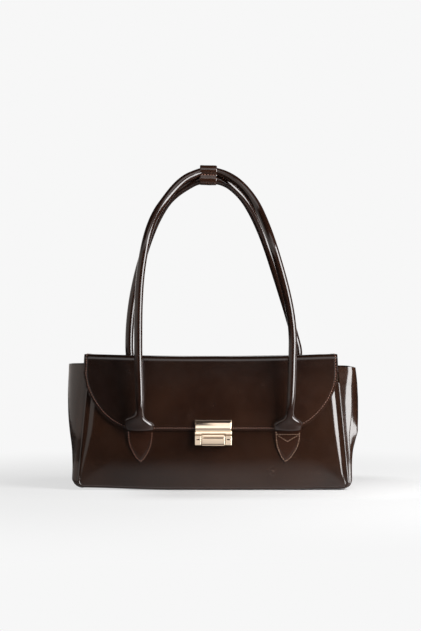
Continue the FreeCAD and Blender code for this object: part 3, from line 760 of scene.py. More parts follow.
def gusset_folds(across, z):
    """Upright folds; across runs from -1 at the front to 1 at the back."""
    height = smooth(z, 38, 95)
    back = -2.0 * ridge(across, 0.72, 0.1) + 0.9 * ridge(across, 0.5, 0.15)
    inner = -1.6 * ridge(across, 0.05, 0.12) * smooth(z, 80, 135)
    return (back + inner) * height


def gusset(name, left, inset, thickness, pitch, top):
    """A gusset sheet; an inset moves it inwards, for the lining."""
    hand = -1 if left else 1

    def place(across, run, lift):
        x, z, out_x, out_z = gusset_line(run)
        share = across * hand
        front = front_y(min(z, FRONT_TOP)) + smooth(z, FRONT_TOP, GUSSET_TOP) * 2 + 1.0 + seam_back(z) + inset
        back = back_y(z) - 1.0 - seam_back(z) - inset
        half = (back - front) / 2
        out = gusset_section(share, half, z, left) + gusset_folds(share, z) + lift - inset
        sag = (0.0 if left else 4.6) * smooth(z, 70, GUSSET_TOP) * (1 - 0.4 * share * share)
        up = z + out * out_z - sag + settle(hand * x, z)
        return hand * (x + out * out_x), (front + back) / 2 + share * half, up

    fine = pitch / 5 / DEPTH
    columns = steps(-1, -0.82, fine)[:-1] + steps(-0.82, 0.82, pitch / DEPTH) + steps(0.82, 1, fine)[1:]
    return cut_out(name, columns, steps(0, top, pitch), [(-1.0, top), (1.0, top)],
                   lambda across, run, edge: waves(run, 40 * across, 34, 0.4), place, thickness, cut=False)


def cut_cloth(piece, length):
    """Work out how wide a lining was cut for its length, as wide as its two faces measure on average; the
    results are not kept or shown.
    """
    area = sum(polygon.area for polygon in piece.data.polygons) / 2
    area / (length * MM)
    length * MM


for left, side in ((True, "left"), (False, "right")):
    leather_side = gusset(side + "_gusset_leather", left, 0.0, LEATHER, 1.5, GUSSET_RUN)
    finish(leather_side, body_leather, [side + "_gusset"], "bag")
    cloth_side = gusset(side + "_gusset_cloth", left, 1.9, 0.6, 3.0, GUSSET_RUN - 2)
    finish(cloth_side, lining_cloth, [side + "_lining"], "bag")
    cut_cloth(cloth_side, GUSSET_RUN - 2)

# %% Base


def place_base(x, forward, lift):
    return x, -forward, 0.1 - lift + settle(x, 0)


BASE_HALF = DEPTH - 1
base = cut_out("base_leather", steps(-CORNER_X, CORNER_X, 5), steps(-BASE_HALF, BASE_HALF, 4),
               [(-CORNER_X, -BASE_HALF), (CORNER_X, -BASE_HALF)],
               lambda x, forward, edge: -0.25 * (1 - ridge(forward, 0, 30)), place_base, LEATHER, cut=False)
finish(base, body_leather, ["base_panel"], "bag")

# %% [markdown]
# ## Seam cords
# A cord covered in leather lies in the seam round each panel and stiffens it. It runs down one side,
# along the base and up the other side, and its ends are tucked into the seam. A curve with a round
# bevel follows the panel's outline, so the cord is exactly as long as the seam.

# %% Seam cords

CORD_RADIUS = 1.7
CORD_TOP = 116.0


def rod(line, name, radius, roundness):
    """Turn a curve into a round rod, closed at both ends."""
    line.data.bevel_depth = radius * MM
    line.data.bevel_resolution = roundness
    line.data.use_fill_caps = True
    only(line)
    bpy.ops.object.convert(target="MESH")
    return name_piece(bpy.context.object, name)


def along(outline, pitch):
    """Points along an outline, about a pitch apart."""
    points = []
    for a, b in zip(outline[:-1], outline[1:]):
        count = max(1, round(math.dist(a, b) / pitch))
        points += [(a[0] + (b[0] - a[0]) * i / count, a[1] + (b[1] - a[1]) * i / count) for i in range(count)]
    return points + [outline[-1]]


def cord(name, face, inward):
    """Along a panel's outline, just behind its face, with both ends tucked into the seam."""
    path = [(x, face(z) + inward * (CORD_RADIUS - 0.3 + seam_back(z)), z + settle(x, z))
            for x, z in along(panel_outline(CORD_TOP, 0.0, CORD_RADIUS), 6)]
    for end in (0, -1):
        x, y, z = path[end]
        inside = -1 if x > 0 else 1
        hook = [(x + inside * 0.5, y + inward * 0.2, z + 1.0), (x + inside * 1.9, y + inward * 1.2, z + 2.0)]
        path = path + hook if end else hook[::-1] + path
    rest()
    line = bpy.data.curves.new(name, "CURVE")
    line.dimensions = "3D"
    spline = line.splines.new("POLY")
    spline.points.add(len(path) - 1)
    for place, point in zip(spline.points, path):
        place.co = (*(Vector(point) * MM), 1)
    piece = bpy.data.objects.new(name, line)
    bpy.context.collection.objects.link(piece)
    return rod(piece, name, CORD_RADIUS, 4)


for side, face, inward in (("front", front_y, 1), ("back", back_y, -1)):
    finish(cord(side + "_seam_cord", face, inward), cord_leather, [side + "_piping"], "bag")

# %% [markdown]
# ## Inside the bag
# The lining follows the panels on their inner side, with a leather band sewn round the mouth and a
# slip pocket on the back. They are cut with the same tools, only further in.

# %% Linings, bands and pocket

INNER = 2.6                          # leather and board are this thick together
CLOTH = 0.6


LINING_PITCH = 6                     # the layers inside need fewer points than the leather


def layer(name, side, top, low, inset, depth, thickness):
    """A sheet inside a panel, at a depth behind its outer face and with the same relief."""
    _, _, relief, place = side
    outline = panel_outline(top, inset, low)
    return cut_out(name, steps(-side_x(low), side_x(low), LINING_PITCH), steps(low, top, LINING_PITCH), outline,
                   lambda x, z, edge: relief(x, z, edge + inset) - depth, place, thickness)


cloths = {}
for side in (FRONT, BACK):
    name, top = side[:2]
    cloths[name] = layer(name + "_lining_cloth", side, top - 1.5, 4.2, 3.4, INNER, CLOTH)
    finish(cloths[name], lining_cloth, [name + "_lining"], "bag")
    cut_cloth(cloths[name], top - 5.7)

BAND = 26.0                          # height of the band round the mouth
for side in (FRONT, BACK):
    name, top = side[:2]
    band = layer(name + "_mouth_band", side, top - 0.8, top - BAND, 5.6, INNER + CLOTH, 0.8)
    finish(band, facing_leather, [name + "_facing"], "bag")

for side in (FRONT, BACK):
    name, top = side[:2]
    stiff = layer(name + "_board", side, top - 3, 4.5, 12.0, LEATHER + 0.1, 0.8)
    finish(stiff, stiff_board, [name + "_stiffener"], "bag")


def place_floor(x, y, lift):
    return x, y, 4.2 + lift + settle(x, 0)


def floor_layer(name, half, depth, thickness):
    """A flat layer on the base, of half a width, at a depth under the lining's face."""
    edge_line = [(-CORNER_X, -half), (CORNER_X, -half)]
    return cut_out(name, steps(-CORNER_X, CORNER_X, 8), steps(-half, half, 8), edge_line,
                   lambda x, y, edge: -depth, place_floor, thickness, cut=False)


base_board = floor_layer("base_board", 35.0, 0.5, 1.9)
finish(base_board, stiff_board, ["base_board"], "bag")
floor_cloth = floor_layer("base_lining_cloth", 36.4, 0.0, CLOTH)
finish(floor_cloth, lining_cloth, ["base_lining"], "bag")
cut_cloth(floor_cloth, 72.8)

POCKET_HALF, POCKET_LOW, POCKET_TOP = 62.0, 38.0, 108.0
POCKET_ROOM = 7.0
POCKET = [(-POCKET_HALF, POCKET_TOP), (-POCKET_HALF, POCKET_LOW), (POCKET_HALF, POCKET_LOW),
          (POCKET_HALF, POCKET_TOP)]


def pocket_relief(x, z, edge):
    """The pocket stands off the lining, and its mouth has a doubled hem."""
    hem = 0.5 * smooth(z, POCKET_TOP - 9, POCKET_TOP - 8)
    return -(INNER + CLOTH + 0.4 + POCKET_ROOM * smooth(edge, 0, 9) + hem)


pocket = cut_out("slip_pocket", steps(-POCKET_HALF, POCKET_HALF, 2.5), steps(POCKET_LOW, POCKET_TOP, 2.5),
                 POCKET, pocket_relief, place_back, CLOTH, cut=False)
finish(pocket, lining_cloth, ["inner_pocket"], "bag")
cut_cloth(pocket, POCKET_TOP - POCKET_LOW)

# %% [markdown]
# ## The flap
# The flap is one piece of leather. It is sewn to the back, goes over the top, bends down over the
# front edge and ends in a straight edge with wide round corners. It opens at two lines, the hinge and
# the front edge, so the mesh is made in two halves that meet on top, where it never bends. The
# pattern's height runs up the front and then back over the top.

# %% Path of the flap

BEND = Vector((-27.0, 143.0))        # middle (y, z) of the bend over the front edge
BEND_RADIUS = 6.6
FLAP_LEAN = math.radians(6.65)
FLAP_LOW = 65.6
FLAP_SHIFT = -2.6                    # the flap sits a little left of the bag's middle
FLAP_HALF = 140.6
CROWN_HALF = 139.0
TOP_Z = BEND.y + BEND_RADIUS
HINGE = Vector((33.7, 148.9))        # line (y, z) where the flap bends at the back
BEND_TOP = BEND.y + BEND_RADIUS * math.sin(FLAP_LEAN)
FRONT_RUN = (BEND_TOP - FLAP_LOW) / math.cos(FLAP_LEAN)
BEND_RUN = BEND_RADIUS * (math.pi / 2 - FLAP_LEAN)
FLAP_RUN = FRONT_RUN + BEND_RUN - BEND.x


def flap_line(up):
    """Place and outward direction (y, z) on the flap, by the way up from its lower edge."""
    if up < FRONT_RUN:
        reach = FRONT_RUN - up
        outward = Vector((-math.cos(FLAP_LEAN), math.sin(FLAP_LEAN)))
        down = Vector((-math.sin(FLAP_LEAN), -math.cos(FLAP_LEAN)))
        return BEND + outward * BEND_RADIUS + down * reach, outward
    if up < FRONT_RUN + BEND_RUN:
        angle = math.pi - FLAP_LEAN - (up - FRONT_RUN) / BEND_RADIUS
        outward = Vector((math.cos(angle), math.sin(angle)))
        return BEND + outward * BEND_RADIUS, outward
    return Vector((BEND.x + up - FRONT_RUN - BEND_RUN, TOP_Z)), Vector((0, 1))


def flap_sag(x, y, up):
    """The flap's top sinks a little between its corners, most at the front edge."""
    across = max(1 - (x / CROWN_HALF) ** 2, 0)
    slope = 1.7 * min(max((y - BEND.x - 4) / (HINGE.x - BEND.x), 0), 1)
    return across * smooth(up, 40, 86) * (2.0 + 0.9 * smooth(y, HINGE.x, BEND.x)) + slope


def place_flap(x, up, lift):
    at, outward = flap_line(up)
    at = at + outward * lift
    return x + FLAP_SHIFT, at.x, at.y - flap_sag(x, at.x, up)


def flap_height(z):
    """The pattern's height of a point of the front part."""
    return FRONT_RUN - (BEND_TOP - z) / math.cos(FLAP_LEAN)


def flap_outline(inset):
    """Down the left side of the front half, round its corner, along the edge and up the right side."""
    poles = [Vector((FLAP_HALF - inset, flap_height(129))), Vector((FLAP_HALF - inset, flap_height(105))),
             Vector((115 - inset, inset)), Vector((85 - inset, inset))]
    curve = []
    for share in steps(0, 1, 1 / 16):
        weights = ((1 - share) ** 3, 3 * share * (1 - share) ** 2, 3 * share ** 2 * (1 - share), share ** 3)
        point = sum((pole * weight for pole, weight in zip(poles, weights)), Vector((0, 0)))
        curve.append((point.x, point.y))
    left = [(-CROWN_HALF + inset, FLAP_RUN)] + [(-x, up) for x, up in curve]
    return left + [(-x, up) for x, up in reversed(left)]


# %% Front half of the flap

FLAP_FOLD = ("flap_crown", "flap_front", (0, -0.020, 0.151), (0, -0.0345, 0.134))
FACING_IN = 2.2                      # the facing ends this far inside the leather's edge
FACING_DEPTH = THIN_LEATHER + 0.3
FACING = 0.4


def flap_relief(x, up, edge):
    """Turned edge, a swell in the middle of the front, and the unevenness of worn leather."""
    swell = 0.7 * smooth(edge, 4, 45) * ridge(up, 38, 30)
    uneven = waves(x + 90, up, 52, 0.6) + waves(x, up + 50, 20, 0.12)
    return swell + uneven * smooth(edge, 3, 25) + turned_edge(edge)


def facing_relief(x, up, edge):
    return -FACING_DEPTH


def flap_half(name, half, rows, outline, pitch, relief, place, thickness, fine=None):
    """One half of the flap's leather or facing, from the rows for its pitch."""
    return cut_out(name, steps(-half, half, pitch), rows(pitch), outline, relief, place, thickness, fine=fine)


def front_rows(pitch):
    bent = FRONT_RUN + BEND_RUN
    low, high = steps(0, FRONT_RUN - 1, pitch), steps(bent + 1, FLAP_RUN, pitch)
    return low + steps(FRONT_RUN, bent, pitch / 4) + high


flap_front = flap_half("flap_front_leather", FLAP_HALF, front_rows, flap_outline(0.0), 2.6, flap_relief,
                       place_flap, THIN_LEATHER, fine=(5, 3))
finish(flap_front, flap_leather, ["flap_front", "flap_crown"], FLAP_FOLD)
flap_inner = flap_half("flap_front_facing", FLAP_HALF, front_rows, flap_outline(FACING_IN), 3.2,
                       facing_relief, place_flap, FACING)
finish(flap_inner, facing_leather, ["flap_front_lining", "flap_crown_lining"], FLAP_FOLD)

# %% [markdown]
# ## The rear half of the flap
# Behind the middle the flap goes back to its hinge, turns down and is sewn flat to the back panel.
# When the flap opens, only the stretch round the hinge bends.

# %% Rear half of the flap

STRIP_LOW = 98.0
STRIP_OUT = 1.4
TURN_RADIUS = 3.6
TURN_Y = back_y(BACK_TOP) + STRIP_OUT - TURN_RADIUS
TURN_Z = TOP_Z - TURN_RADIUS
STRIP_RUN = TURN_Z - STRIP_LOW
TURN_RUN = TURN_RADIUS * math.pi / 2
REAR_RUN = STRIP_RUN + TURN_RUN + TURN_Y
FLAP_HINGE = ("bag", "flap_crown", (0, 0.0372, 0.1454), (0, 0.0302, 0.1524))


def place_rear(x, up, lift):
    """Up the strip on the back, round the turn and forward over the top."""
    if up < STRIP_RUN:
        z = STRIP_LOW + up
        y, outward = back_y(z) + STRIP_OUT, Vector((1, 0))
    elif up < STRIP_RUN + TURN_RUN:
        angle = (up - STRIP_RUN) / TURN_RADIUS
        outward = Vector((math.cos(angle), math.sin(angle)))
        y, z = TURN_Y + TURN_RADIUS * outward.x, TURN_Z + TURN_RADIUS * outward.y
    else:
        y, z, outward = TURN_Y - (up - STRIP_RUN - TURN_RUN), TOP_Z, Vector((0, 1))
    sag = flap_sag(x, y, FLAP_RUN) * smooth(up, STRIP_RUN - 20, STRIP_RUN + TURN_RUN)
    return -x + FLAP_SHIFT, y + outward.x * lift, z + outward.y * lift - sag


def rear_outline(inset):
    half = CROWN_HALF - inset
    corner = (half - 8, inset + 8)
    right = arc(corner, 8, -90, 0, 6) + [(half, REAR_RUN)]
    return [(-x, up) for x, up in reversed(right)] + right


def rear_rows(pitch):
    """Rows above the strip."""
    turned = STRIP_RUN + TURN_RUN
    return steps(STRIP_RUN, turned, 0.8)[1:] + steps(turned, REAR_RUN, pitch)[1:]


def strip_and_rear_rows(pitch):
    return steps(0, STRIP_RUN, pitch) + rear_rows(pitch)


flap_rear = flap_half("flap_rear_leather", CROWN_HALF, strip_and_rear_rows, rear_outline(0.0), 2.8,
                      lambda x, up, edge: turned_edge(edge), place_rear, THIN_LEATHER, fine=(5, 2))
finish(flap_rear, flap_leather, ["flap_anchor"], FLAP_HINGE)
rear_inner = flap_half("flap_rear_facing", CROWN_HALF, rear_rows, rear_outline(FACING_IN), 3.2,
                       facing_relief, place_rear, FACING)
finish(rear_inner, facing_leather, body=FLAP_HINGE)

# %% Stitches of the flap


def seam_row(outline, place, lift):
    """Points and normals of a row of stitches along an outline of a pattern."""
    row = []
    for x, up in along(outline, 4):
        at = Vector(place(x, up, lift))
        row.append((at, (Vector(place(x, up, lift + 1)) - at).normalized()))
    return row


front_stitches = sew("flap_front_stitches", [seam_row(flap_outline(STITCH_IN), place_flap, -0.02)])
finish(front_stitches, brown_thread, body=FLAP_FOLD)
strip_row = [(-CROWN_HALF + 4, STRIP_RUN - 8), (CROWN_HALF - 4, STRIP_RUN - 8)]
rear_stitches = sew("flap_rear_stitches", [seam_row(rear_outline(STITCH_IN), place_rear, -0.02),
                                           seam_row(strip_row, place_rear, 0.2)])
finish(rear_stitches, brown_thread, body=FLAP_HINGE)

# %% [markdown]
# ## Handles
# Each handle is a cord covered in rolled leather. At both ends the leather opens into a fan with
# two wings that fold back, and goes on under it as a pointed tab that is sewn to the panel. The two
# handles come together at the top. A smooth curve runs through a few chosen stations, each with its
# direction. Every leg is split half way up: the lower part is one piece with the fan, and the upper
# parts and the arch are one piece. On the bag, a handle bends at its foot and where the arch starts.

# %% Routes of the handles

TUBE_RADIUS = 4.65
FOOT_Z = 158.0                       # the legs bend here
ARCH_Z = 255.0                       # and here
FRONT_Y = -51.6
REAR_Y = 48.0
FAN_LOW = 66.0
APEX_X = -5.7
APEX_FRONT = Vector((APEX_X, 0, 354.3))
APEX_REAR = Vector((APEX_X, 0, 344.9))


def station(x, y, z, degrees, slope=0.0):
    """A place and a rising direction, turned to the right by degrees and sloping to the back."""
    angle = math.radians(degrees)
    return Vector((x, y, z)), Vector((math.sin(angle), slope, math.cos(angle)))


def leg(y, tuck, *turns):
    """Stations up a leg, from x and turn at four heights; the lowest is tucked in towards the bag."""
    heights = (FAN_LOW, 98, FOOT_Z, ARCH_Z)
    return [station(x, y + tuck * (z == FAN_LOW), z, degrees) for z, (x, degrees) in zip(heights, turns)]


FRONT_LEFT = leg(FRONT_Y, 1.1, (-80.2, -1), (-80.6, -1), (-82.1, 0), (-77.0, 9.5))
FRONT_RIGHT = leg(FRONT_Y, 1.1, (82.0, 3), (84.8, 4), (87.0, 1.5), (69.6, -16.5))
REAR_LEFT = leg(REAR_Y, -1.1, (-86.0, -2), (-88.0, -3), (-96.6, 0), (-82.2, 16.5))
REAR_RIGHT = leg(REAR_Y, -1.1, (86.0, 2), (88.4, 5), (96.7, -15), (67.4, -18))
FRONT_TOP_LEFT = [station(-57.3, -22, 314.8, 34.6, 0.6), station(-24.1, -5, 348.9, 67, 0.35)]
FRONT_TOP_RIGHT = [station(52.0, -24, 307.0, -23, 0.6), station(24.8, -8, 343.2, -52, 0.45)]
REAR_TOP_LEFT = [station(-53.4, 22, 318.9, 38, -0.6), station(-23.6, 5, 341.1, 63, -0.35)]
REAR_TOP_RIGHT = [station(39.8, 22, 317.2, -33, -0.6), station(19.4, 7, 338.2, -56, -0.45)]


def bend(low, high, y, z):
    """The two bodies at a bend of a handle, and the ends of the 30 mm that bend."""
    return low, high, (0, y * MM, (z - 15) * MM), (0, y * MM, (z + 15) * MM)


def half_way(low, high):
    """The station in the middle of the curve between two stations."""
    (a, a_way), (b, b_way) = low, high
    reach = (b - a).length / 3
    a_handle, b_handle = a + a_way.normalized() * reach, b - b_way.normalized() * reach
    return (a + 3 * a_handle + 3 * b_handle + b) / 8, (b + b_handle - a_handle - a).normalized()


def weld(piece, gap):
    """Merge the points that are nearer than a gap in metres, and turn all faces outwards."""
    edit_all(piece)
    bpy.ops.mesh.remove_doubles(threshold=gap)
    bpy.ops.mesh.normals_make_consistent(inside=False)
    rest()


CRUMPLE_SIZE = 24                    # the leather of a tube is pressed in and out over this length
CRUMPLE = 0.06                       # by at most this much


def rolled(name, stations, divisions):
    """A rolled tube along a smooth curve through stations, with leather that is not quite even."""
    rest()
    bpy.ops.curve.primitive_bezier_curve_add()
    line = bpy.context.object
    points = line.data.splines[0].bezier_points
    points.add(len(stations) - 2)
    places = [place for place, _ in stations]
    for i, (place, way) in enumerate(stations):
        before = (place - places[max(i - 1, 0)]).length / 3
        after = (places[min(i + 1, len(places) - 1)] - place).length / 3
        onward = way.normalized()
        points[i].handle_left_type = points[i].handle_right_type = "FREE"
        points[i].co = place * MM
        points[i].handle_left = (place - onward * (before or after)) * MM
        points[i].handle_right = (place + onward * (after or before)) * MM
    line.data.resolution_u = divisions
    line.data.twist_mode = "MINIMUM"
    piece = rod(line, name, TUBE_RADIUS, 6)
    weld(piece, 0.00002)
    for vertex in piece.data.vertices:
        lift = noise.noise(vertex.co / (CRUMPLE_SIZE * MM)) * CRUMPLE * MM
        vertex.co += vertex.normal * lift
    piece.data.update()
    return piece


# %% [markdown]
# ## Fans
# The lower end of the tube is squeezed flat and spread sideways. Each wing has its own shoulder, the
# height where it starts to spread; the leather is thin at the rim and its wings bend back.

# %% Shape of a fan


UNDER_SHOULDER = (-9, -5, -2.5, -0.5, 1.5, 4, 7, 10)
OPENED = (0, 0.04, 0.13, 0.35, 0.66, 0.88, 0.98, 1)      # share of the wing's width at those places
RIM_HALF = 2.3                       # half the fan's thickness at its rim
WING_BEND = 8.0
FAN_SHIFT = 2.6                      # the rim lies nearer to the panel by this


def spread(height, shoulder, half):
    """Half width of one wing at a height over the fan's rim."""
    below = [shoulder - height + shift for shift in (-0.7, 0, 0.7)]
    wing = sum(np.interp(below, UNDER_SHOULDER, OPENED)) / 3
    curl = 0.08 * (1 - smooth(height, 0, 6))
    neck = TUBE_RADIUS - 0.5 * ridge(height, 24, 9)
    return neck + (half * (1 - curl) - neck) * wing


def open_fan(piece, stations, wings, facing):
    """Flatten the lower end of a tube; wings gives shoulder and half width of the left and right wing."""
    (foot, _), (neck, _) = stations[:2]
    for vertex in piece.data.vertices:
        at = vertex.co / MM
        height = at.z - FAN_LOW
        if height > 34:
            continue
        share = min(max(height / (neck.z - FAN_LOW), 0), 1)
        middle = foot.lerp(neck, share)
        side = (at.x - middle.x) / TUBE_RADIUS
        deep = (at.y - middle.y) / TUBE_RADIUS
        shoulder, half = wings[0] if side < 0 else wings[1]
        width = spread(height, shoulder, half)
        flat = smooth(height, 6, 26)
        thick = RIM_HALF + (TUBE_RADIUS - RIM_HALF) * flat
        lip = 0.75 + 0.25 * smooth(height, 0, 1.6)
        bent = -facing * WING_BEND * max(abs(side) - 0.35, 0) ** 2 * (1 - flat)
        at.x = middle.x + side * width
        at.y = middle.y + deep * thick * lip + bent - facing * FAN_SHIFT * (1 - smooth(height, 0, 16))
        if height < 14:
            at.z += (1 - smooth(height, 0, 8)) * 0.9 * (abs(side) ** 2 - 0.3)
        vertex.co = at * MM
    piece.data.update()


# %% Lower ends of the handles

TAB_TIP = 29.0
TAB_TOP = 64.8
TAB_HALF = 14.8
TAB_THICK = 2.0
TAB_INSET = 1.8


def tab_outline(lean, inset):
    """Pointed arch, from the top left round the tip to the top right."""
    half = TAB_HALF - inset
    shape = ((half, 0, 0), (half - 0.5, 0, 9), (half * 0.86, 0.15, 16), (half * 0.64, 0.4, 22.5),
             (half * 0.34, 0.7, 29.5))
    left, right = ([(hand * wide + share * lean, TAB_TOP - drop) for wide, share, drop in shape]
                   for hand in (-1, 1))
    return left + [(lean, TAB_TIP + 1.5 * inset)] + right[::-1]


def handle_foot(name, stations, lean, wings, crossbar=False):
    """Fan, lower leg and tab of one end of a handle, with the tab's stitches."""
    side = name.split("_")[0]
    face, hand, y = (front_y, 1, FRONT_Y) if side == "front" else (back_y, -1, REAR_Y)

    def place(x, z, lift):
        return stations[0][0].x + hand * x, face(z) - hand * (TAB_THICK + lift), z

    def relief(x, z, edge):
        return (-0.3 * ridge(edge, 0, 1.0) - 0.2 * ridge(edge, TAB_INSET, 0.8)
                + waves(x + 40 * hand, z, 13, 0.35) * smooth(edge, 0, 6))

    fan = rolled(name + "_fan", stations[:3] + [half_way(*stations[2:])], 22)
    open_fan(fan, stations, wings, -hand)
    at_foot = bend("bag", side + "_legs", y, FOOT_Z)
    finish(fan, handle_leather, [name + "_tab"], at_foot, angle=60)
    tab = cut_out(name + "_tab", steps(-TAB_HALF, TAB_HALF, 1.2), steps(TAB_TIP, TAB_TOP, 1.2),
                  tab_outline(lean, 0.0), relief, place, TAB_THICK - 0.1, fine=(3, 2))
    finish(tab, handle_leather, body="bag")
    rows = [seam_row(tab_outline(lean, TAB_INSET), place, 0.0)]
    if crossbar:
        rows.append(seam_row([(-TAB_HALF + 2, 61.2), (TAB_HALF - 2, 61.2)], place, 0.1))
        rows.append(seam_row([(-TAB_HALF + 4, 60.0), (-0.5, 53.5), (TAB_HALF - 4, 60.0)], place, 0.1))
    stitches = sew(name + "_stitches", rows, pitch=2.8, length=1.4, thickness=0.65)
    finish(stitches, pale_thread if crossbar else brown_thread, body="bag")


handle_foot("front_left", FRONT_LEFT, 0.4, ((16.5, 16.9), (10.5, 16.2)))
handle_foot("front_right", FRONT_RIGHT, -2.6, ((12.5, 16.0), (12.5, 16.0)), crossbar=True)
handle_foot("rear_left", REAR_LEFT, 0.4, ((12, 16.4), (12, 16.4)))
handle_foot("rear_right", REAR_RIGHT, -0.8, ((12, 16.4), (12, 16.4)))

# %% Upper legs and arches


def handle_top(side, left, left_top, apex, right_top, right, y):
    """From half way up the left leg over the top to half way down the right leg."""
    stations = [half_way(*left[2:]), left[3], *left_top, (apex, Vector((1, 0, 0)))]
    stations += [(place, -way) for place, way in (*reversed(right_top), right[3], half_way(*right[2:]))]
    top = rolled(side + "_handle_top", stations, 30)
    nodes = [side + "_left_leg", side + "_right_leg", side + "_arch"]
    at_arch = bend(side + "_legs", side + "_arch", y, ARCH_Z)
    finish(top, handle_leather, nodes, at_arch, angle=60)


handle_top("front", FRONT_LEFT, FRONT_TOP_LEFT, APEX_FRONT, FRONT_TOP_RIGHT, FRONT_RIGHT, FRONT_Y)
handle_top("rear", REAR_LEFT, REAR_TOP_LEFT, APEX_REAR, REAR_TOP_RIGHT, REAR_RIGHT, REAR_Y)

# %% [markdown]
# ## Keeper
# A short band of leather is wrapped tightly round both handles and sewn through between them. Its
# pattern is a strip that is laid round the two tubes: two half rounds joined by pinched flanks.

# %% Keeper

KEEPER_HALF = 9.5
KEEPER_ROOM = 0.4
KEEPER_LEATHER = 1.4
KEEPER_OUTER = TUBE_RADIUS + KEEPER_ROOM + KEEPER_LEATHER
KEEPER_GAP = APEX_FRONT.z - APEX_REAR.z
HALF_ROUND = math.pi * KEEPER_OUTER
LOOP = 2 * HALF_ROUND + 2 * KEEPER_GAP


def keeper_line(run):
    """Place and outward direction (y, z) round both tubes, up in front and down behind."""
    half, run = divmod(run, KEEPER_GAP + HALF_ROUND)
    way = 1 if half < 1 else -1
    start, end = (APEX_REAR.z, APEX_FRONT.z)[::way]
    if run < KEEPER_GAP:
        pinch = 1.7 * math.sin(math.pi * run / KEEPER_GAP) ** 2
        return Vector((way * (pinch - KEEPER_OUTER), start + way * run)), Vector((-way, 0))
    turn = (run - KEEPER_GAP) / KEEPER_OUTER
    outward = Vector((-way * math.cos(turn), way * math.sin(turn)))
    return Vector((0, end)) + outward * KEEPER_OUTER, outward


def place_keeper(x, run, lift):
    at, outward = keeper_line(run % LOOP)
    at = at + outward * lift
    skew = 0.10 * (at.y - APEX_REAR.z)
    return APEX_X + x + 0.3 * skew, at.x, at.y - 0.03 * x


def keeper_relief(x, run, edge):
    seam = -0.25 * ridge(run % (KEEPER_GAP + HALF_ROUND), KEEPER_GAP / 2, 0.8)
    return -0.5 * ridge(KEEPER_HALF - abs(x), 0, 0.6) + seam + waves(x, run, 7, 0.3)


keeper = sheet("keeper_leather", steps(-KEEPER_HALF, KEEPER_HALF, 0.8), steps(0, LOOP, 0.9))
bend_sheet(keeper, [(-KEEPER_HALF, 0), (-KEEPER_HALF, LOOP)], keeper_relief, place_keeper)
weld(keeper, 0.0003)
thicken(keeper, KEEPER_LEATHER)
finish(keeper, handle_leather, ["handle_keeper"], "front_arch")
keeper_rows = [seam_row([(-KEEPER_HALF + 1, middle), (KEEPER_HALF - 1, middle)], place_keeper, -0.1)
               for middle in (KEEPER_GAP / 2, KEEPER_GAP * 1.5 + HALF_ROUND)]
keeper_stitches = sew("keeper_stitches", keeper_rows, pitch=3.2, length=2.2, thickness=0.7)
finish(keeper_stitches, brown_thread, body="front_arch")

# %% [markdown]
# ## The lock
# The lock is a small press lock in pale gold. The plate on the flap has a thin frame, a groove and a
# band whose face slants two ways; the body on the panel has two posts, a bridge and a back plate; the
# press bar between the posts has a groove across it. Each block starts as a cube at its place, is cut
# and pushed in or out by extrude, and gets rounded edges by bevel, because polished edges are what
# shows in such small parts.

# %% Modelling blocks


def block(name, low, high):
    """A cube primitive between two corners, in millimetres."""
    rest()
    low, high = Vector(low) * MM, Vector(high) * MM
    bpy.ops.mesh.primitive_cube_add(size=1, location=(low + high) / 2, scale=high - low)
    piece = name_piece(bpy.context.object, name)
    bpy.ops.object.transform_apply(location=True, rotation=True, scale=True)
    return piece


def cut_across(piece, axis, *places):
    """Cut all faces with planes across X or Z, without removing anything."""
    across = Vector((axis == "X", 0, axis == "Z"))
    for place in places:
        edit_all(piece)
        bpy.ops.mesh.bisect(plane_co=across * place * MM, plane_no=across, threshold=0.000001)
        rest()


def push(piece, test, move):
    """Move the faces whose middle (mm) passes a test, of those at the front, back by millimetres."""
    wanted = [face.normal.y < -0.7 and test(face.center / MM) for face in piece.data.polygons]
    edit_some(piece, "FACE", wanted)
    bpy.ops.mesh.extrude_region_move(TRANSFORM_OT_translate={"value": Vector((0, move, 0)) * MM})
    rest()


def groove(piece, middle, half, low, high, depth):
    """A groove in the front of a block, between two heights."""
    cut_across(piece, "Z", low, high)
    cut_across(piece, "X", middle - half, middle + half)
    push(piece, lambda at: low < at.z < high and abs(at.x - middle) < half, depth)


def slant(piece, front, low, rate, high=1000):
    """Lean the front of a block back between two heights, by a rate for each millimetre."""
    for vertex in piece.data.vertices:
        if vertex.co.y / MM < front and low <= vertex.co.z / MM < high:
            vertex.co.y += rate * (vertex.co.z - low * MM)


def round_edges(piece, width, segments, front, high):
    """Bevel the edges that lie in front of one place and under a height, in millimetres."""
    inside = [vertex.co.y / MM < front and vertex.co.z / MM < high for vertex in piece.data.vertices]
    edit_some(piece, "EDGE", [all(inside[index] for index in edge.vertices) for edge in piece.data.edges])
    bpy.ops.mesh.bevel(offset=width * MM, segments=segments, profile=0.5, affect="EDGES", clamp_overlap=True)
    rest()


def soften(piece, width, segments=2):
    """Round all sharp edges a little with a bevel modifier."""
    modifier = piece.modifiers.new("soft edges", "BEVEL")
    modifier.width = width * MM
    modifier.segments = segments
    modifier.limit_method = "ANGLE"
    modifier.angle_limit = math.radians(35)
    apply_modifiers(piece)


def shade_hollows(piece, test):
    """Mark the vertices that pass a test (mm) as a hollow, where the plating is duller and painted shade
    darkens its colour.
    """
    hollow = piece.data.attributes.new("hollow", "FLOAT", "POINT")
    hollow.data.foreach_set("value", [float(test(vertex.co / MM)) for vertex in piece.data.vertices])


# %% Plate on the flap

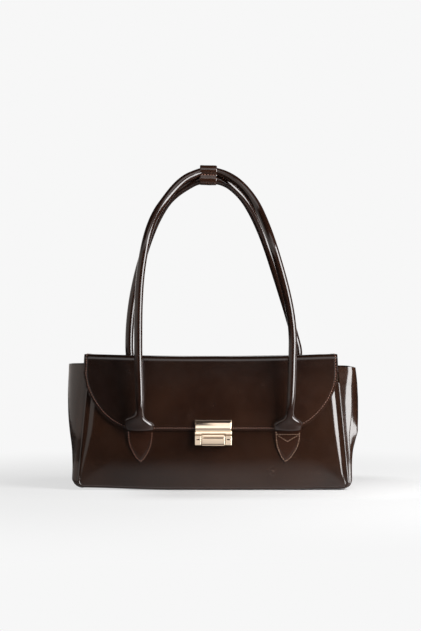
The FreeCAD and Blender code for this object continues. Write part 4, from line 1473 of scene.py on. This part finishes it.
LOCK_HALF = 20.0
PLATE_LOW = 63.2
PLATE_TOP = 75.4
FLAP_FACE = BEND.x - BEND_RADIUS     # the flap's face before it leans
PLATE_FRONT = FLAP_FACE - 4.4
BAND_LOW = PLATE_LOW - 0.2
BAND_TOP = PLATE_TOP - 2.7
BAND_TURN = BAND_LOW + 2.9           # below this the band slants back again
LOCK_SLANT = 0.3                     # how far the lock's faces lean back for each millimetre up
GROOVE = (PLATE_TOP - 2.7, PLATE_TOP - 1.5)


def lean_with_flap(piece):
    """Turn an upright block about the flap's bend, so that it lies on the leaning flap."""
    rest()
    turn = Matrix.Rotation(-FLAP_LEAN, 4, "X")
    middle = Matrix.Translation(Vector((0, BEND.x, BEND.y)) * MM)
    piece.data.transform(middle @ turn @ middle.inverted())


plate = block("lock_plate", (-LOCK_HALF, FLAP_FACE - 2.2, PLATE_LOW), (LOCK_HALF, FLAP_FACE, PLATE_TOP))
groove(plate, 0, LOCK_HALF - 0.9, *GROOVE, 1.9)
soften(plate, 0.12)
shade_hollows(plate, lambda at: GROOVE[0] - 0.1 < at.z < GROOVE[1] + 0.1 and at.y > FLAP_FACE - 1.9
        and abs(at.x) < LOCK_HALF - 0.8)
BAND_HALF = LOCK_HALF - 0.5
band = block("lock_band", (-BAND_HALF, PLATE_FRONT, BAND_LOW), (BAND_HALF, FLAP_FACE - 0.5, BAND_TOP))
cut_across(band, "Z", BAND_TURN)
slant(band, PLATE_FRONT + 0.1, BAND_TURN, LOCK_SLANT)
for vertex in band.data.vertices:
    if vertex.co.y / MM < PLATE_FRONT + 0.1 and vertex.co.z / MM < BAND_LOW + 0.1:
        vertex.co.y += 1.3 * MM
round_edges(band, 0.5, 3, PLATE_FRONT + 0.1, BAND_TURN + 0.1)
soften(band, 0.3)
rest()
plate.select_set(True)
band.select_set(True)
bpy.context.view_layer.objects.active = plate
bpy.ops.object.join()
lean_with_flap(plate)
finish(plate, gold, ["clasp_plate"], "flap_front", angle=20)

# %% Body of the lock

BODY_LOW = 49.9
BODY_TOP = 64.9
BODY_FRONT = -47.6
POST = 6.7
BRIDGE_LOW = 62.4
RAIL_LOW = 61.7
BODY_BACK = -DEPTH
DASH = (55.1, 56.3)                  # a short groove across each post
PLATE_DEPTH = 1.2


def sunk(at, front, low):
    """Whether a point lies behind a front that leans back from its lower edge."""
    return at.y > front + LOCK_SLANT * (at.z - low) + 0.4


lock_back = block("lock_body", (-LOCK_HALF, BODY_BACK - PLATE_DEPTH, BODY_LOW),
                  (LOCK_HALF, BODY_BACK, BODY_TOP))
cut_across(lock_back, "X", -LOCK_HALF + POST, LOCK_HALF - POST)
cut_across(lock_back, "Z", BRIDGE_LOW)
push(lock_back, lambda at: abs(at.x) > LOCK_HALF - POST or at.z > BRIDGE_LOW,
     BODY_FRONT - BODY_BACK + PLATE_DEPTH)
cut_across(lock_back, "Z", *DASH, RAIL_LOW - 1.8, RAIL_LOW)
for middle in (-LOCK_HALF + POST / 2, LOCK_HALF - POST / 2):
    groove(lock_back, middle, 1.5, *DASH, 1.6)
slant(lock_back, BODY_FRONT + 2, BODY_LOW, LOCK_SLANT, RAIL_LOW - 0.1)
slant(lock_back, BODY_FRONT + 2, RAIL_LOW, 0.35)
soften(lock_back, 0.15)
shade_hollows(lock_back, lambda at: abs(abs(at.x) - LOCK_HALF + POST / 2) < 1.6
        and DASH[0] - 0.1 < at.z < DASH[1] + 0.1 and at.y < BODY_BACK - 0.5 and sunk(at, BODY_FRONT, BODY_LOW))
finish(lock_back, gold, ["clasp_body"], "bag", angle=20)

# %% Press bar

BAR_HALF = 12.4
BAR_LOW = 49.0
BAR_TOP = 61.6
BAR_FRONT = -48.8
BAR_BACK = -44.2
BAR_GROOVE = (56.8, 58.4)

bar = block("lock_press_bar", (-BAR_HALF, BAR_FRONT, BAR_LOW), (BAR_HALF, BAR_BACK, BAR_TOP))
slant(bar, BAR_FRONT + 0.1, BAR_LOW, LOCK_SLANT)
round_edges(bar, 2.2, 7, BAR_FRONT + 0.1, BAR_LOW + 1)
groove(bar, 0, BAR_HALF - 1.3, *BAR_GROOVE, 1.5)
soften(bar, 0.12)
shade_hollows(bar, lambda at: BAR_GROOVE[0] - 0.2 < at.z < BAR_GROOVE[1] + 0.2 and at.y < BAR_BACK - 0.5
        and sunk(at, BAR_FRONT, BAR_LOW))
finish(bar, gold, ["clasp_press_bar"], "press_bar", angle=20)

# %% Hidden metal of the lock

for node in ("clasp_tongue", "clasp_body_backing", "clasp_body_rivets", "clasp_plate_backing",
             "clasp_plate_screws"):
    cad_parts[node].material_slots[0].material = steel
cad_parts["clasp_catch_spring"].material_slots[0].material = spring_steel
print("tongue, backing plates, rivets, screws and spring keep their shapes")

# %% [markdown]
# ## Studio
# The bag stands on a pale floor in front of a pale backdrop. A tall soft box on the right gives the
# bright lines on the tubes and the gusset, and a weak one high in front lifts the panels a little. A
# pale wall on the left gives the grey sheen of the left side. Only reflections see a bright area high
# in front, which is there for the lock's faces, and they see the floor darker than the camera does.
# The world looks white to the camera and behind the bag, and is dim in front.

# %% Floor

WHITE = 0.93                         # the white of the backdrop
rest()
bpy.ops.mesh.primitive_plane_add(size=8, location=(0, 0, -0.0002))
floor = name_piece(bpy.context.object, "floor")
paper = Finish("floor_paper", Roughness=0.9)
paper.set("Base Color", (0.7, 0.7, 0.7, 1))
camera_ray, glossy_ray, passing_ray = paper.rays("Camera", "Glossy", "Transmission")
spot = paper.vectors("LENGTH", paper.place(), output=1)
outside = paper.vectors("SUBTRACT", paper.vectors("ABSOLUTE", paper.place()), (0.15, 0.04, 0))
off = paper.vectors("LENGTH", paper.vectors("MAXIMUM", outside, (0, 0, 0)), output=1)
# Painted light: on the left the floor's glow covers the shadow that the bag casts there.
on_left = paper.step(0 - paper.parts(paper.place())[0], 0.02, 0.12)
near_bag = (1 - paper.step(off, 0.05, 0.12)) * (1 - on_left * 0.95)
share = 0.75 + paper.step(spot, 0.2, 0.6) * 0.25 - near_bag * 0.75
# Painted reflection: reflections see the floor glowing at 0.6 of white near the bag, fading to almost nothing
# beyond 30 cm.
paper_in_reflections = 0.6 - paper.step(spot, 0.08, 0.3) * 0.57
glow = paper.node("ShaderNodeEmission", {}, {"Color": (WHITE, WHITE, WHITE, 1),
                                             "Strength": camera_ray + passing_ray + glossy_ray * paper_in_reflections})
seen = camera_ray + glossy_ray + passing_ray
both = paper.nodes.new("ShaderNodeMixShader")
paper.feed(both.inputs[0], seen * share)
paper.links.new(paper.shader.outputs[0], both.inputs[1])
paper.links.new(glow.socket, both.inputs[2])
paper.links.new(both.outputs[0], paper.nodes["Material Output"].inputs["Surface"])
floor.data.materials.append(paper.material)

# %% World

world = bpy.data.worlds.new("studio")
bpy.context.scene.world = world
world.use_nodes = True
room = Surroundings(world)
to_right, to_back, to_top = room.parts(room.node("ShaderNodeTexCoord", output="Generated"))
backdrop = room.step(to_back, 0.84, 0.97)
low_wall = 1 - room.step(to_top, 0.15, 0.55)
left_wall = room.step(0 - to_right, 0.15, 0.6) * (1.0 - room.step(to_back, -0.6, 0.8) * 0.45) * low_wall
camera_ray, glossy_ray = room.rays("Camera", "Glossy")
window = room.step(to_top, 0.34, 0.42) * (1 - room.step(to_top, 0.62, 0.74))
window = window * room.step(0 - to_back, 0.3, 0.5)
dim = 0.02 + left_wall + window * glossy_ray * 0.9
lit = dim + backdrop * (WHITE - dim)
lit = lit + camera_ray * (WHITE - lit)
warmth = {0: left_wall * 0.9 * (1 - camera_ray), 6: lit, 7: (1.0, 0.87, 0.79, 1.0)}
walls = room.node("ShaderNodeMix", {"data_type": "RGBA"}, warmth, 2)
room.feed(room.nodes["Background"].inputs["Color"], walls)
print("white to the camera and behind the bag, grey at the left, with a bright area for reflections")

# %% Lamps


def soft_box(name, place, target, width, height, watts):
    """A rectangular lamp at a place, turned to a target, in metres."""
    lamp = bpy.data.lights.new(name, "AREA")
    lamp.shape = "RECTANGLE"
    lamp.size, lamp.size_y = width, height
    lamp.energy = watts
    made = bpy.data.objects.new(name, lamp)
    bpy.context.collection.objects.link(made)
    made.location = place
    made.rotation_euler = (Vector(target) - Vector(place)).to_track_quat("-Z", "Y").to_euler()


soft_box("right_box", (0.72, -0.47, 0.48), (0, 0, 0.48), 0.5, 0.94, 24)
soft_box("front_box", (0.2, -1.1, 1.5), (0, 0, 0.12), 1.2, 0.9, 5)
print("two soft boxes")

# %% [markdown]
# ## Camera
# The photo was taken from straight in front, a little above the flap, with a long lens. The picture is
# upright, so the sensor's 36 mm lie along its height.

# %% Camera and picture

CAMERA_DISTANCE = 1.9
camera = bpy.data.objects.new("camera", bpy.data.cameras.new("camera"))
bpy.context.collection.objects.link(camera)
camera.data.lens = 98.5
camera.data.sensor_width = 36
camera.location = (-0.003, -DEPTH * MM - CAMERA_DISTANCE, 0.192)
camera.rotation_euler = (math.radians(90), 0, 0)
bpy.context.scene.camera = camera
bpy.context.scene.view_settings.view_transform = "Standard"
